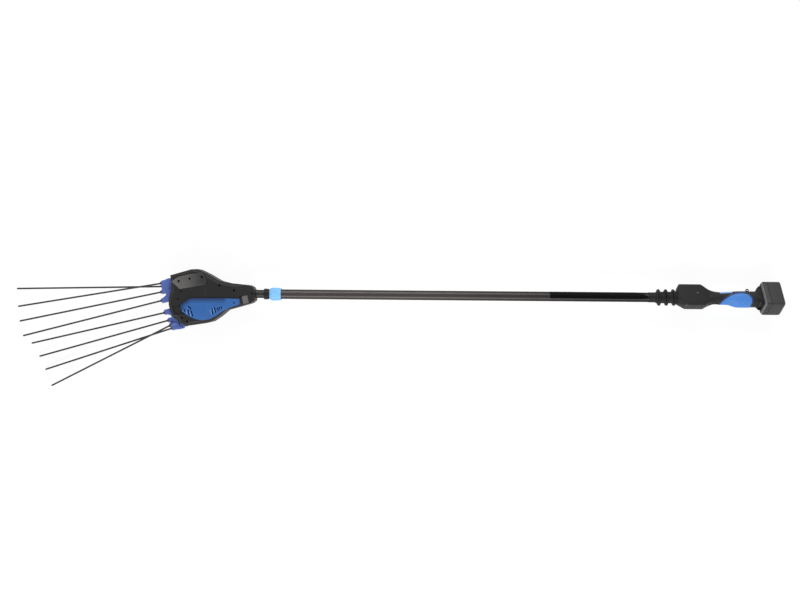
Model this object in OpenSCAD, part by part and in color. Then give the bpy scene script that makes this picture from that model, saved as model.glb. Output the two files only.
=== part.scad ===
// Electric olive harvester: two clapping combs on a telescopic pole, with a battery handle.
// X runs along the pole towards the battery, Y across it and Z up from the surface it lies on.
// The origin is on the pole axis at the clip point, midway along the tool.

/* [Pole] */
// Outside diameter of the outer pole tube
pole_d = 28; // [26:0.5:30]
// Wall of the outer pole tube
pole_wall = 1.5; // [1.2:0.1:2]
// Length of the outer pole tube
pole_l = 1198; // [1000:1:1500]
// Distance from the clip point to the mouth of the outer tube
clip_to_mouth = 366; // [250:1:500]
// Wall of the inner tube
tube_wall = 1.5; // [1:0.1:2]
// How far the inner tube draws out
draw_out = 600; // [300:10:700]
// Inner tube kept inside the outer tube when drawn out
tube_overlap = 140; // [80:5:200]
// Length of the band printed plain round the pole
label_l = 287; // [150:1:400]
// Bare pole between the band and the boot
label_gap = 22; // [5:1:60]

/* [Lock collar] */
// Outside diameter of the lock collar
collar_d = 38; // [36:0.5:44]
// Length of the lock collar
collar_l = 36; // [32:1:50]
// Outside diameter of the stop ring
ring_d = 32; // [28:0.5:38]
// Length of the stop ring
ring_l = 13; // [8:0.5:20]
// Bare inner tube between the stop ring and the head
bare_l = 26; // [10:1:80]

/* [Head] */
// Angle of the head against the pole
head_tilt = 14.1; // [8:0.1:20]
// Reach of the head from the tilt point to its front
head_reach = 140; // [136:1:150]
// Half width of the head
head_half = 84; // [80:1:95]
// Reach of the neck from the tilt point back along the pole
neck_reach = 111; // [106:1:125]
// Half thickness of the head
head_t = 42; // [40:0.5:48]
// Width of the bevel round the flat of each shell
head_bevel = 8; // [4:0.5:10]
// Wall of the head shells
shell_wall = 3.5; // [2.5:0.1:4]
// Height of a blue cover above its shell
cover_h = 8; // [4:0.5:12]
// Bevel round a blue cover
cover_bevel = 4; // [2:0.5:6]

/* [Combs] */
// Distance of a comb pivot ahead of the tilt point
pivot_u = 104; // [102:0.5:106]
// Distance of a comb pivot from the head axis, the pitch radius of its sector
pivot_v = 40; // [38:0.5:42]
// Diameter of a comb pivot shaft
pivot_d = 12; // [10:0.5:13]
// Reach of the comb front ahead of the tilt point
comb_front = 165.5; // [160:0.5:172]
// Depth of a comb bar
comb_depth = 30; // [24:1:34]
// Width of a comb bar across the head
comb_span = 68; // [60:1:76]
// Gap from the head axis to a comb bar
comb_inset = 10; // [9:0.5:14]
// Rake of the comb front
comb_rake = 12.5; // [8:0.5:16]
// Diameter of a tine
tine_d = 5; // [4:0.1:6]
// Length of a tine ahead of its socket
tine_l = 407; // [300:1:450]

/* [Drive] */
// Distance of the crank axis ahead of the tilt point
crank_u = 44; // [42:0.5:46]
// Distance of the crank axis above the head axis
crank_v = 14; // [13:0.5:15]
// Throw of the eccentric
crank_throw = 5; // [3:0.1:5.5]
// Tooth module of the reduction gears
gear_module = 1.5; // [1.4:0.05:1.6]
// Direction from the crank axis to the motor axis
motor_turn = 125; // [120:1:130]
// Diameter of the motor can
motor_d = 52; // [46:0.5:54]
// Wall of the motor can
can_wall = 2; // [1.5:0.1:3]

/* [Handle] */
// Roll of the handle about the pole, as clamped
handle_roll = 35; // [0:1:60]
// Length of the handle from the control box to the battery dock
handle_l = 230; // [220:1:260]
// Length of pole held in the control box
pole_hold = 26; // [24:1:28]
// Width of the control box
box_w = 56; // [52:1:64]
// Height of the control box
box_h = 46; // [44:1:54]
// Diameter of the slim part of the grip
grip_d = 36.4; // [35:0.2:40]
// Diameter of the palm swell
palm_d = 46; // [42:0.5:50]
// Drop of the palm swell from the pole axis
palm_drop = 3.3; // [0:0.1:5]
// Wall of the handle shells
handle_wall = 4; // [3.2:0.1:4.4]
// Thickness of the soft pad
pad_t = 2; // [1:0.1:2.4]
// Length of the ribbed boot
boot_l = 61; // [50:1:80]
// Outside diameter of the boot rings
boot_ring_d = 49; // [42:0.5:54]
// Outside diameter of the boot sleeve
boot_d = 34; // [33:0.5:38]
// Bore of the lanyard eye
eye_d = 4.4; // [3:0.1:5]

/* [Battery] */
// Length of the battery along the pole
pack_l = 58; // [56:0.5:70]
// Width of the battery
pack_w = 76; // [75:0.5:90]
// Height of the battery
pack_h = 54; // [53:0.5:66]
// Wall of the battery case
pack_wall = 3; // [2:0.1:3.2]
// Diameter of a cell
cell_d = 18; // [16:0.1:18.2]
// Length of a cell
cell_l = 65; // [60:0.5:65.2]

/* [Hidden] */
$fn = 48;

// Clearances
fit = 0.02;
run = 0.05;
slip = 0.3;
overrun = 1;

// Pole and collar
tube_gap = 0.5;
tube_d = pole_d - 2 * pole_wall - 2 * tube_gap;
tube_bore = tube_d - 2 * tube_wall;
mouth_x = -clip_to_mouth;
pole_end_x = mouth_x + pole_l;
collar_lip = 6;
collet_l = 9.6;
collar_front_x = mouth_x - collet_l - 2 * slip - collar_lip;
bush_t = 2;
bush_r = pole_d / 2 + fit + bush_t;
bush_l = collar_l - collar_lip - collet_l - 3 * slip - overrun;
collet_slit = 1.5;
flute_count = 12;
flute_r = 2;
flute_depth = 0.7;
barrel_share = 0.94;
ring_x = collar_front_x - ring_l - overrun;
neck_end_x = ring_x - bare_l;
label_t = 0.25;

// Inner tube and lead
clamp_l = 41;
tube_front_x = neck_end_x - clamp_l;
tube_end_x = mouth_x + draw_out + tube_overlap;
plug_l = 12;
plug_flange = 4;
cable_d = 8;
cable_lead = 29;
coil_wall = 4.5;

// Head outline, as shares of the reach ahead or the neck behind, and of the half width
head_x = neck_end_x - neck_reach;
head_shares = [
    [0.985, -0.24], [1.014, 0.05], [1.007, 0.36], [0.907, 0.655], [0.793, 0.82], [0.386, 0.905],
    [0.214, 0.905], [0.043, 0.8], [-0.18, 0.643], [-0.775, 0.607], [-0.928, 0.548], [-1.009, 0.452],
    [-1.009, 0.179], [-0.9, -0.012], [-0.396, -0.25], [-0.18, -0.405], [0.057, -0.726],
    [0.221, -0.952], [0.357, -1], [0.829, -1], [0.864, -0.786]
];
cover_shares = [
    [0.79, 0.26], [0.78, 0.37], [0.6, 0.6], [0.41, 0.77], [0.21, 0.79], [-0.03, 0.65], [-0.3, 0.535],
    [-0.53, 0.51], [-0.58, 0.46], [-0.54, 0.33], [-0.11, 0.21], [0.32, 0.1], [0.53, 0.1], [0.68, 0.17]
];
vent_shares = [[0.671, 0.33], [0.604, 0.43], [0.54, 0.5], [0.12, 0.6], [0.061, 0.575]];
vent_l = 13;
vent_w = 4;
vent_turn = 86;
clamp_share = 0.59;
neck_drop = 16;
pad_shares = [[0.83, -0.77], [0.73, -0.44], [0.2, -0.375], [0.14, -0.77]];
pad_h = 1.5;
screw_shares = [
    [0.65, -0.7], [0.42, -0.69], [0.17, -0.645], [-0.17, -0.226], [-0.51, 0.054], [0.68, 0.714],
    [-0.79, 0.525], [-0.81, 0.03]
];
screw_r = 1.6;
screw_head_r = 3;
screw_head_h = 3;
screw_seat = 24;
screw_depth = 20;
boss_r = 5;

// Comb pivots and sector gears
sector_t = 10;
fork_gap = 0.1;
fork_t = 10.2;
fork_top = sector_t / 2 + fork_gap + fork_t;
slot_half = fork_top + slip;
bush_wall = 2;
hub_wall = 5;
hub_r = pivot_d / 2 + bush_wall + hub_wall;
pivot_boss_wall = 4;
pivot_boss_r = pivot_d / 2 + pivot_boss_wall;
pivot_sink = 17;
slot_gap = 3;
slot_u = pivot_u - hub_r - slot_gap;
sector_teeth = 40;
sector_module = 2 * pivot_v / sector_teeth;
sector_hub_r = pivot_d / 2 + hub_wall;
lever_back = 16;
lever_in = 26;
lever_eye_r = 8;
lever_w = 12;
web_step = 1;
wrist_r = 4;
wrist_stand = 1;

// Tines: place along the bar as a share of its span, height, angle outwards and angle down
tine_span_shares = [0.12, 0.478, 0.843, 0.715];
tine_rise = [0, 0, 0, 9];
tine_out = [-0.83, 1.71, 4.13, 12.68];
tine_down = [3.5, 5.9, 6.4, 7.2];
tine_r = tine_d / 2;
arm_root_shares = [0.95, 0.2, 0.9];
arm_palm_shares = [0.1, 0.25];
socket_r = 8;
socket_l = 24;
socket_out = 2;
ferrule_r = 4.3;
ferrule_l = 9;
ferrule_taper_share = 0.75;
tines = [0 : len(tine_out) - 1];

// Drive train
pinion_teeth = 14;
gear_teeth = 42;
pressure = 25;
addendum_share = 0.9;
dedendum_share = 1.2;
thin_share = 0.08;
root_share = 0.1;
crank_at = [crank_u, -crank_v];
centres = gear_module * (pinion_teeth + gear_teeth) / 2;
motor_at = crank_at + centres * [cos(motor_turn), sin(motor_turn)];
shaft_r = 4;
bearing_r = 11;
bearing_l = 7;
wrist_gap = 0.4;
rod_z = sector_t / 2 + wrist_stand + wrist_gap;
rod_t = 7;
gear_stand = 2.6;
gear_z = rod_z + rod_t + gear_stand;
gear_t = 10;
sheave_r = 12.5;
rod_bearing_r = 18.5;
rod_ring = 4;
bearing_gap = 2;
upper_bearing_z = gear_z + gear_t + bearing_gap;
lower_bearing_z = -10;
bearing_wall = 3;
bearing_boss_r = bearing_r + bearing_wall;
spacer_r = shaft_r + bearing_wall;
rod_from = crank_at + [0, crank_throw];
rod_to = [pivot_u - lever_back, -pivot_v + lever_in];
gear_hole_r = 6;
gear_hole_count = 5;
gear_hole_share = 0.62;

// Motor
motor_r = motor_d / 2;
motor_top = 2;
motor_foot = -(head_t - shell_wall) + overrun;
can_floor = 6;
end_plate_t = 2.5;
motor_shaft_r = 2.5;
motor_bearing_r = 5;
motor_bearing_l = 4;
rotor_r = 13;
rotor_gap = 0.6;
stator_t = 4.5;
stator_teeth = 9;
tooth_w = 4;
coil_w = 8;
coil_gap = 0.2;
stack_l = 24;
stack_foot = 3;
stack_z = motor_foot + can_floor + stack_foot;
seat_h = 12;
seat_wall = 3;

// Handle: rows of place along it, half width, half height, corner radius and drop
box_x = pole_end_x - pole_hold;
box_corner = 7;
box_shares = [0.052, 0.322, 0.4];
tail_shares = [0.61, 0.5275, 0.333];
mouth_wall = 6;
mouth_half = pole_d / 2 + mouth_wall;
mouth_corner_share = 0.9;
grip_shares = [[0.46, 1.055, 0.948, 0], [0.545, 1, 0.999, 0.333], [0.655, 1.04, 0.9615, 0.25]];
palm_shares = [[0.72, 0.94, 0.967, 0.85], [0.765, 1, 0.952, 1], [1, 1, 0.952, 1]];
function round_row(s, r) = [s[0] * handle_l, s[1] * r, s[1] * r, s[2] * s[1] * r, s[3] * palm_drop];
handle_rows = concat(
    [
        [0, mouth_half, mouth_half, mouth_corner_share * mouth_half, 0],
        [box_shares[0] * handle_l, box_w / 2, box_h / 2, box_corner, 0],
        [box_shares[1] * handle_l, box_w / 2, box_h / 2, box_corner, 0],
        concat(box_shares[2] * handle_l, grip_d * tail_shares, 0)
    ],
    [for (s = grip_shares) round_row(s, grip_d / 2)],
    [for (s = palm_shares) round_row(s, palm_d / 2)]
);
corner_steps = 6;
boot_rings = 3;
boot_ring_t = 6;
pad_shares_xy = [
    [0.503, -0.9], [0.503, -0.42], [0.53, -0.3], [0.57, -0.05], [0.61, 0.18], [0.66, 0.42], [0.72, 0.62],
    [0.78, 0.66], [0.85, 0.58], [0.895, 0.36], [0.925, 0.02], [0.935, -0.34], [0.9, -0.9], [0.9, -1.8],
    [0.503, -1.8]
];

// Control parts
board_t = 1.6;
board_shares = [0.1565, 0.2913];
board_x = handle_l * board_shares;
board_y_share = 0.357;
board_y = board_y_share * box_w;
board_z = 8;
post_r = 2.5;
post_inset = 4;
button_share = 0.2435;
button_x = button_share * handle_l;
button_r = 4.5;
button_flange = 1.5;
button_flange_t = 1.6;
button_proud = 1;
handle_screw_shares = [
    [0.13, 0.357], [0.13, -0.357], [0.313, 0.321], [0.313, -0.321], [0.487, 0], [0.904, 0]
];
handle_screw_at = [for (s = handle_screw_shares) [s[0] * handle_l, s[1] * box_w]];
handle_screw_r = 1.4;
handle_screw_head = 2.8;
handle_screw_half = 10;
handle_boss_r = 4.5;
lever_roll = 30;
lever_width = 14;
lever_shares = [
    [0.541, 0.22], [0.541, 0.456], [0.565, 0.4835], [0.652, 0.5275], [0.73, 0.5577], [0.7425, 0.5357],
    [0.7425, 0.3846], [0.652, 0.3434], [0.583, 0.22]
];
lever_pin_shares = [0.559, 0.2885];
lever_pin_x = lever_pin_shares[0] * handle_l;
lever_pin_z = lever_pin_shares[1] * grip_d;
lever_pin_r = 1.5;
lever_pin_half = 10;
pocket_floor_share = 0.165;
pocket_floor = pocket_floor_share * grip_d;
pocket_gap = 0.9;
cheek = 3.7;
switch_shares = [0.661, 0.722];
switch_half = 3;
switch_h = 3.4;
spring_share = 0.622;
spring_r = 2.5;
spring_h_share = 0.099;
eye_share = 0.896;
eye_wall = 2.4;
eye_t = 5;
eye_lift = 0.8;
eye_y = palm_d / 2 - palm_drop + eye_d / 2 + eye_lift;

// Battery dock and pack
dock_l = 14;
dock_w = 68;
dock_h = 48;
dock_corner = 6;
stem_half = 12;
stem_l = 4;
head_half_w = 17;
tongue_l = 9;
tongue_back = 24;
tongue_ahead = 27;
dock_face = handle_l + dock_l;
pack_x = dock_face + slip;
pack_bevel = 5;
pack_corner = 7;
pack_split = 18;
pack_floor = 5;
pack_cavity_x = pack_x + pack_floor;
pack_lip_share = 0.6;
pack_run_share = 1.6;
cell_pitch = 13;
cell_shift = 1.8;
cell_lead = 2.5;
cell_x = pack_cavity_x + cell_lead + cell_d / 2 + cell_pitch;
holder_t = 4;
holder_inset = 3;
blade_t = 1;
blade_from = -5;
blade_to = 15;
blade_z = 6;
blade_l = 6;
latch_l = 8.4;
latch_half = 11.7;
latch_flange = 2.3;
latch_flange_t = 1.4;
latch_proud = 0.4;
latch_back = 7;
latch_x = pack_x + latch_back;

// Helpers
function unit(v) = v / norm(v);
function inset_pts(p, d) = [
    for (i = [0 : len(p) - 1])
        let (
            n = len(p),
            t1 = unit(p[i] - p[(i + n - 1) % n]),
            t2 = unit(p[(i + 1) % n] - p[i]),
            n1 = [-t1[1], t1[0]],
            n2 = [-t2[1], t2[0]]
        )
        p[i] + (n1 + n2) * d / (1 + n1 * n2)
];
function head_pt(s) = [s[0] * (s[0] > 0 ? head_reach : neck_reach), s[1] * head_half];
function head_pts(shares) = [for (s = shares) head_pt(s)];
function lift(p, z) = [for (q = p) [q[0], q[1], z]];
function corner_pts(hw, hh, r) = [
    for (c = [0 : 3])
        for (k = [0 : corner_steps])
            let (
                turn = c * 90 + k * 90 / corner_steps,
                sx = (c == 0 || c == 3) ? 1 : -1,
                sy = (c < 2) ? 1 : -1
            )
            [sx * (hw - r) + r * cos(turn), sy * (hh - r) + r * sin(turn)]
];
function handle_ring(row, inset) = [
    for (q = corner_pts(row[1] - inset, row[2] - inset, max(row[3] - inset, handle_wall / 4)))
        [row[0], q[0] - row[4] * cos(handle_roll), q[1] - row[4] * sin(handle_roll)]
];
function inv_turn(c) = tan(acos(c)) * 180 / PI - acos(c);
function tooth_half(r, teeth, m) = let (
    pitch = teeth * m / 2,
    base = pitch * cos(pressure)
) 90 / teeth - thin_share * m / pitch * 180 / PI + inv_turn(cos(pressure)) - inv_turn(min(1, base / r));
function tooth_radii(teeth, m) = let (
    pitch = teeth * m / 2,
    low = pitch - dedendum_share * m,
    high = pitch + addendum_share * m,
    base = max(pitch * cos(pressure), low + root_share * m)
) [low, base, (base + high) / 2, high];
function flank_pts(radii, teeth, m, turn, side) = [
    for (r = radii) let (a = turn + side * tooth_half(r, teeth, m)) r * [cos(a), sin(a)]
];
function flip(list) = [for (k = [len(list) - 1 : -1 : 0]) list[k]];
function tooth_pts(teeth, m, turn) = let (radii = tooth_radii(teeth, m))
    concat(flank_pts(radii, teeth, m, turn, -1), flank_pts(flip(radii), teeth, m, turn, 1));
function gear_pts(teeth, m, first, count) = [
    for (k = [0 : count - 1]) each tooth_pts(teeth, m, (first + k) * 360 / teeth)
];

// A closed solid through rings that all have the same number of points
module loft(rings) {
    n = len(rings[0]);
    last = len(rings) - 1;
    sides = [
        for (k = [0 : last - 1], i = [0 : n - 1])
            let (j = (i + 1) % n)
            each [[k * n + i, (k + 1) * n + i, k * n + j], [k * n + j, (k + 1) * n + i, (k + 1) * n + j]]
    ];
    caps = [[for (i = [0 : n - 1]) i], [for (i = [n - 1 : -1 : 0]) last * n + i]];
    polyhedron([for (r = rings) each r], concat(sides, caps));
}
module bevelled(pts, z0, z1, z2, d) {
    loft([lift(pts, z0), lift(pts, z1), lift(inset_pts(pts, d), z2)]);
}
module tube_x(x0, x1, r, bore) {
    translate([x0, 0, 0]) rotate([0, 90, 0]) difference() {
        cylinder(h = x1 - x0, r = r);
        translate([0, 0, -overrun]) cylinder(h = x1 - x0 + 2 * overrun, r = bore);
    }
}
module rod_x(x0, x1, r) {
    translate([x0, 0, 0]) rotate([0, 90, 0]) cylinder(h = x1 - x0, r = r);
}
module disc(at, z0, z1, r) {
    translate([at[0], at[1], z0]) cylinder(h = z1 - z0, r = r);
}
module ring_z(at, z0, z1, r, bore) {
    difference() {
        disc(at, z0, z1, r);
        disc(at, z0 - overrun, z1 + overrun, bore);
    }
}
module slab(x0, x1, y0, y1, z0, z1) {
    translate([x0, y0, z0]) cube([x1 - x0, y1 - y0, z1 - z0]);
}
module on_head() {
    translate([head_x, 0, 0]) rotate([0, 0, 180 + head_tilt]) children();
}
module on_upper() {
    on_head() rotate([180, 0, 0]) children();
}
module on_handle() {
    translate([box_x, 0, 0]) rotate([-handle_roll, 0, 0]) children();
}
module on_lever() {
    on_handle() rotate([-lever_roll, 0, 0]) children();
}

// Head shells
head_outline = head_pts(head_shares);
cover_outline = head_pts(cover_shares);
screw_places = head_pts(screw_shares);
clamp_u = -clamp_share * neck_reach;
module along_pole() {
    rotate([0, 0, -180 - head_tilt]) translate([-head_x, 0, 0]) children();
}
module shell_block() {
    difference() {
        bevelled(head_outline, 0, head_t - head_bevel, head_t, head_bevel);
        translate([clamp_u, 0, head_t]) rotate([0, -atan2(neck_drop, neck_reach + clamp_u), 0])
            slab(-neck_reach, 0, -head_half, head_half, 0, head_t);
    }
}
module shell_cavity() {
    difference() {
        bevelled(
            inset_pts(head_outline, shell_wall), -overrun, head_t - head_bevel, head_t - shell_wall,
            head_bevel - shell_wall / 2
        );
        slab(-2 * neck_reach, clamp_u, -head_half, head_half, -2 * overrun, head_t);
    }
}
module half_shell(bearing_z, screw_hole) {
    roof = head_t - shell_wall / 2;
    difference() {
        union() {
            difference() {
                shell_block();
                shell_cavity();
                slab(slot_u, 2 * head_reach, -2 * head_half, 2 * head_half, -overrun, slot_half);
            }
            for (s = [-1, 1]) disc([pivot_u, s * pivot_v], slot_half, roof, pivot_boss_r);
            disc(crank_at, bearing_z, roof, bearing_boss_r);
            for (p = screw_places) if (p[0] > clamp_u) disc(p, 0, roof, boss_r);
            children();
        }
        for (s = [-1, 1])
            disc(
                [pivot_u, s * pivot_v], slot_half - overrun, slot_half + pivot_sink + slip, pivot_d / 2 + fit
            );
        disc(crank_at, bearing_z - overrun, bearing_z + bearing_l + slip, bearing_r + fit);
        disc(crank_at, bearing_z, bearing_z + bearing_l + bearing_gap, shaft_r + overrun);
        along_pole() {
            rod_x(tube_front_x, neck_end_x + neck_reach, tube_d / 2 + fit);
            rod_x(tube_front_x - cable_lead - overrun, tube_front_x + overrun, cable_d / 2 + slip);
        }
        for (p = screw_places) disc(p, -overrun, screw_hole[0], screw_r + fit);
        if (screw_hole[1])
            for (p = screw_places) disc(p, screw_seat, 2 * head_t, screw_head_r + slip);
    }
}
module raised_pad() {
    bevelled(head_pts(pad_shares), head_t - pad_h, head_t + pad_h / 2, head_t + pad_h, pad_h / 2);
}
module front_shell() color("#2e2e30") on_head()
    half_shell(upper_bearing_z, [screw_seat + overrun, true]) raised_pad();
module rear_shell() color("#2e2e30") on_head() mirror([0, 0, 1])
    half_shell(-lower_bearing_z - bearing_l, [screw_depth + overrun, false]) {
        raised_pad();
        seat_r = motor_r + fit;
        ring_z(motor_at, -motor_foot - seat_h, head_t - shell_wall / 2, seat_r + seat_wall, seat_r);
    }
module cover_plate() {
    difference() {
        bevelled(cover_outline, head_t, head_t + cover_h - cover_bevel, head_t + cover_h, cover_bevel);
        for (p = head_pts(vent_shares))
            translate([p[0], p[1], head_t + cover_h / 2]) rotate([0, 0, vent_turn])
                slab(-vent_l / 2, vent_l / 2, -vent_w / 2, vent_w / 2, 0, cover_h);
    }
}
module front_cover() color("#3f66b4") on_head() cover_plate();
module rear_cover() color("#3f66b4") on_head() mirror([0, 0, 1]) cover_plate();
module shell_screws() color("#3a3a3c") on_head() for (p = screw_places) {
    disc(p, -screw_depth, screw_seat, screw_r);
    difference() {
        disc(p, screw_seat, screw_seat + screw_head_h, screw_head_r);
        translate([p[0], p[1], screw_seat + screw_head_h / 2])
            cylinder(h = screw_head_h, r = screw_head_r / 2, $fn = 6);
    }
}

// Inner tube, its plugs and the lead to the motor
module inner_tube() color("#4b4747") tube_x(tube_front_x, tube_end_x, tube_d / 2, tube_bore / 2);
module stop_ring() color("#1d1d1f") tube_x(ring_x, ring_x + ring_l, ring_d / 2, tube_d / 2 + fit);
module tube_plugs() color("#262628") {
    tube_x(tube_front_x, tube_front_x + plug_l, tube_bore / 2 - fit, cable_d / 2 + fit);
    tube_x(tube_end_x - plug_l, tube_end_x, tube_bore / 2 - fit, cable_d / 2 + fit);
    tube_x(tube_end_x, tube_end_x + plug_flange, pole_d / 2 - pole_wall - run, cable_d / 2 + fit);
}
module head_cable() color("#1a1a1c")
    rod_x(tube_front_x - cable_lead, tube_end_x + plug_flange, cable_d / 2);
module coiled_cable() color("#1a1a1c") {
    coil_r = pole_d / 2 - pole_wall - slip;
    tube_x(tube_end_x + plug_flange + slip, pole_end_x, coil_r, coil_r - coil_wall);
}

// Motor
module on_motor() {
    on_head() translate([motor_at[0], motor_at[1], 0]) children();
}
stack_r = motor_r - can_wall - fit;
module motor_can() color("#3c3e42") on_motor() difference() {
    disc([0, 0], motor_foot, motor_top, motor_r);
    disc([0, 0], motor_foot + can_floor, motor_top + overrun, motor_r - can_wall);
    disc([0, 0], motor_foot + can_floor - motor_bearing_l, motor_top, motor_bearing_r + fit);
}
module stator_tooth(w, r0, r1, z0, z1) {
    slab(r0, r1, -w / 2, w / 2, z0, z1);
}
module motor_stator() color("#7c7f85") on_motor() {
    ring_z([0, 0], stack_z, stack_z + stack_l, stack_r, stack_r - stator_t);
    for (k = [0 : stator_teeth - 1]) rotate([0, 0, k * 360 / stator_teeth])
        stator_tooth(
            tooth_w, rotor_r + rotor_gap, stack_r - stator_t / 2,
            stack_z + coil_gap, stack_z + stack_l - coil_gap
        );
}
module motor_windings() color("#b0672c") on_motor() for (k = [0 : stator_teeth - 1])
    rotate([0, 0, k * 360 / stator_teeth]) difference() {
        r0 = rotor_r + 2 * rotor_gap;
        r1 = stack_r - stator_t - 2 * coil_gap;
        grow = (coil_w - tooth_w) / 2;
        z1 = stack_z + stack_l;
        stator_tooth(coil_w, r0, r1 - coil_gap, stack_z - grow, z1 + grow);
        stator_tooth(tooth_w + 2 * coil_gap, r0 - overrun, r1 + overrun, stack_z - coil_gap, z1 + coil_gap);
    }
module motor_end_plate() color("#8d9096") on_motor()
    ring_z([0, 0], motor_top, motor_top + end_plate_t, motor_r, motor_bearing_r + fit);
module motor_rotor() color("#55585e") on_motor()
    ring_z([0, 0], stack_z, stack_z + stack_l, rotor_r, motor_shaft_r + fit);
module motor_shaft() color("#b9bcc2") on_motor()
    disc([0, 0], motor_foot + can_floor - motor_bearing_l + slip, gear_z + gear_t, motor_shaft_r);
module ball_bearings() color("#a9acb2") {
    floor_z = motor_foot + can_floor;
    on_motor() ring_z([0, 0], floor_z - motor_bearing_l, floor_z, motor_bearing_r, motor_shaft_r + fit);
    on_motor() ring_z([0, 0], motor_top, motor_top + end_plate_t, motor_bearing_r, motor_shaft_r + fit);
    on_head() for (z = [lower_bearing_z, upper_bearing_z])
        ring_z(crank_at, z, z + bearing_l, bearing_r, shaft_r + fit);
}
module pinion() color("#8f9298") on_motor() difference() {
    half_pitch = 180 / pinion_teeth;
    translate([0, 0, gear_z]) rotate([0, 0, motor_turn + 180 + half_pitch]) linear_extrude(gear_t)
        polygon(gear_pts(pinion_teeth, gear_module, 0, pinion_teeth));
    disc([0, 0], gear_z - overrun, gear_z + gear_t + overrun, motor_shaft_r + fit);
}

// Crank
module crank_shaft() color("#b9bcc2") on_head()
    disc(crank_at, lower_bearing_z, upper_bearing_z + bearing_l, shaft_r);
module drive_gear() color("#d8d4c6") on_head() translate([crank_at[0], crank_at[1], gear_z]) difference() {
    rotate([0, 0, motor_turn]) linear_extrude(gear_t)
        polygon(gear_pts(gear_teeth, gear_module, 0, gear_teeth));
    translate([0, 0, -overrun]) cylinder(h = gear_t + 2 * overrun, r = shaft_r + fit);
    for (k = [0 : gear_hole_count - 1]) rotate([0, 0, k * 360 / gear_hole_count])
        translate([gear_hole_share * gear_module * gear_teeth / 2, 0, -overrun])
            cylinder(h = gear_t + 2 * overrun, r = gear_hole_r);
}
module eccentric() color("#9b9ea4") on_head() difference() {
    union() {
        disc(rod_from, rod_z, rod_z + rod_t, sheave_r);
        disc(crank_at, rod_z + rod_t, gear_z, spacer_r);
    }
    disc(crank_at, rod_z - overrun, gear_z + overrun, shaft_r + fit);
}
module conrod() color("#a4a7ad") on_head() difference() {
    reach = norm(rod_to - rod_from);
    union() {
        disc(rod_from, rod_z, rod_z + rod_t, rod_bearing_r + rod_ring);
        disc(rod_to, rod_z, rod_z + rod_t, lever_eye_r);
        translate([rod_from[0], rod_from[1], rod_z])
            rotate([0, 0, atan2(rod_to[1] - rod_from[1], rod_to[0] - rod_from[0])])
                slab(0, reach, -lever_w / 2, lever_w / 2, web_step, rod_t - web_step);
    }
    disc(rod_from, rod_z - overrun, rod_z + rod_t + overrun, rod_bearing_r + fit);
    disc(rod_to, rod_z - overrun, rod_z + rod_t + overrun, wrist_r + run);
}
module conrod_bearing() color("#c2c5ca") on_head()
    ring_z(rod_from, rod_z, rod_z + rod_t, rod_bearing_r, sheave_r + run);

// Combs, drawn for the lower one; the upper one is the same moulding turned over
pivot_at = [pivot_u, pivot_v];
function bar_front(v) = comb_front - (v - comb_inset) * tan(comb_rake);
bar_far = comb_inset + comb_span;
tine_base = [
    for (k = tines)
        let (v = comb_inset + tine_span_shares[k] * comb_span)
        [bar_front(v), v, tine_rise[k]]
];
module along_tine(k) {
    translate(tine_base[k]) rotate([0, 0, tine_out[k]]) rotate([0, 90 + tine_down[k], 0]) children();
}
module comb_bar() {
    palm = [
        [bar_front(comb_inset) - comb_depth, comb_inset], [bar_front(comb_inset), comb_inset],
        [bar_front(bar_far), bar_far], [bar_front(bar_far) - comb_depth, bar_far]
    ];
    arm = [
        pivot_at - [0, hub_r * arm_root_shares[0]],
        palm[0] + arm_palm_shares[0] * [comb_depth, comb_span],
        palm[3] + [arm_palm_shares[1] * comb_depth, -arm_palm_shares[0] * comb_span],
        pivot_at + hub_r * [-arm_root_shares[1], arm_root_shares[2]]
    ];
    difference() {
        union() {
            translate([0, 0, -fork_top]) linear_extrude(2 * fork_top) polygon(palm);
            for (s = [0, 1]) mirror([0, 0, s]) translate([0, 0, fork_top - fork_t]) {
                linear_extrude(fork_t) polygon(arm);
                translate([pivot_u, pivot_v, 0]) cylinder(h = fork_t, r = hub_r);
            }
            for (k = tines) along_tine(k) translate([0, 0, -socket_l])
                cylinder(h = socket_l + socket_out, r = socket_r);
        }
        disc(pivot_at, -2 * fork_top, 2 * fork_top, pivot_d / 2 + bush_wall + fit);
        for (k = tines) along_tine(k) translate([0, 0, -socket_l + overrun])
            cylinder(h = socket_l + socket_out + overrun, r = tine_r + fit);
    }
}
module comb_bushes() {
    for (s = [0, 1]) mirror([0, 0, s])
        ring_z(pivot_at, fork_top - fork_t, fork_top, pivot_d / 2 + bush_wall, pivot_d / 2 + run);
}
module comb_tines() {
    for (k = tines) along_tine(k) {
        translate([0, 0, -socket_l + overrun])
            cylinder(h = socket_l - overrun + tine_l - tine_r, r = tine_r);
        translate([0, 0, tine_l - tine_r]) sphere(r = tine_r);
    }
}
module comb_ferrules() {
    for (k = tines) along_tine(k) difference() {
        translate([0, 0, socket_out])
            cylinder(h = ferrule_l, r1 = ferrule_r, r2 = ferrule_r * ferrule_taper_share);
        cylinder(h = 2 * ferrule_l, r = tine_r + fit);
    }
}
module sector(first, count, eye) {
    difference() {
        translate([pivot_u, pivot_v, -sector_t / 2]) union() {
            rotate([0, 0, -90]) linear_extrude(sector_t)
                polygon(concat([[0, 0]], gear_pts(sector_teeth, sector_module, first, count)));
            cylinder(h = sector_t, r = sector_hub_r);
            if (eye) {
                translate([-lever_back, -lever_in, 0]) cylinder(h = sector_t, r = lever_eye_r);
                rotate([0, 0, atan2(-lever_in, -lever_back)])
                    slab(
                        0, norm([lever_back, lever_in]), -lever_w / 2, lever_w / 2,
                        web_step, sector_t - web_step
                    );
            }
        }
        disc(pivot_at, -sector_t, sector_t, pivot_d / 2 + run);
        if (eye) disc(pivot_at - [lever_back, lever_in], -sector_t, sector_t, wrist_r + fit);
    }
}
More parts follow.
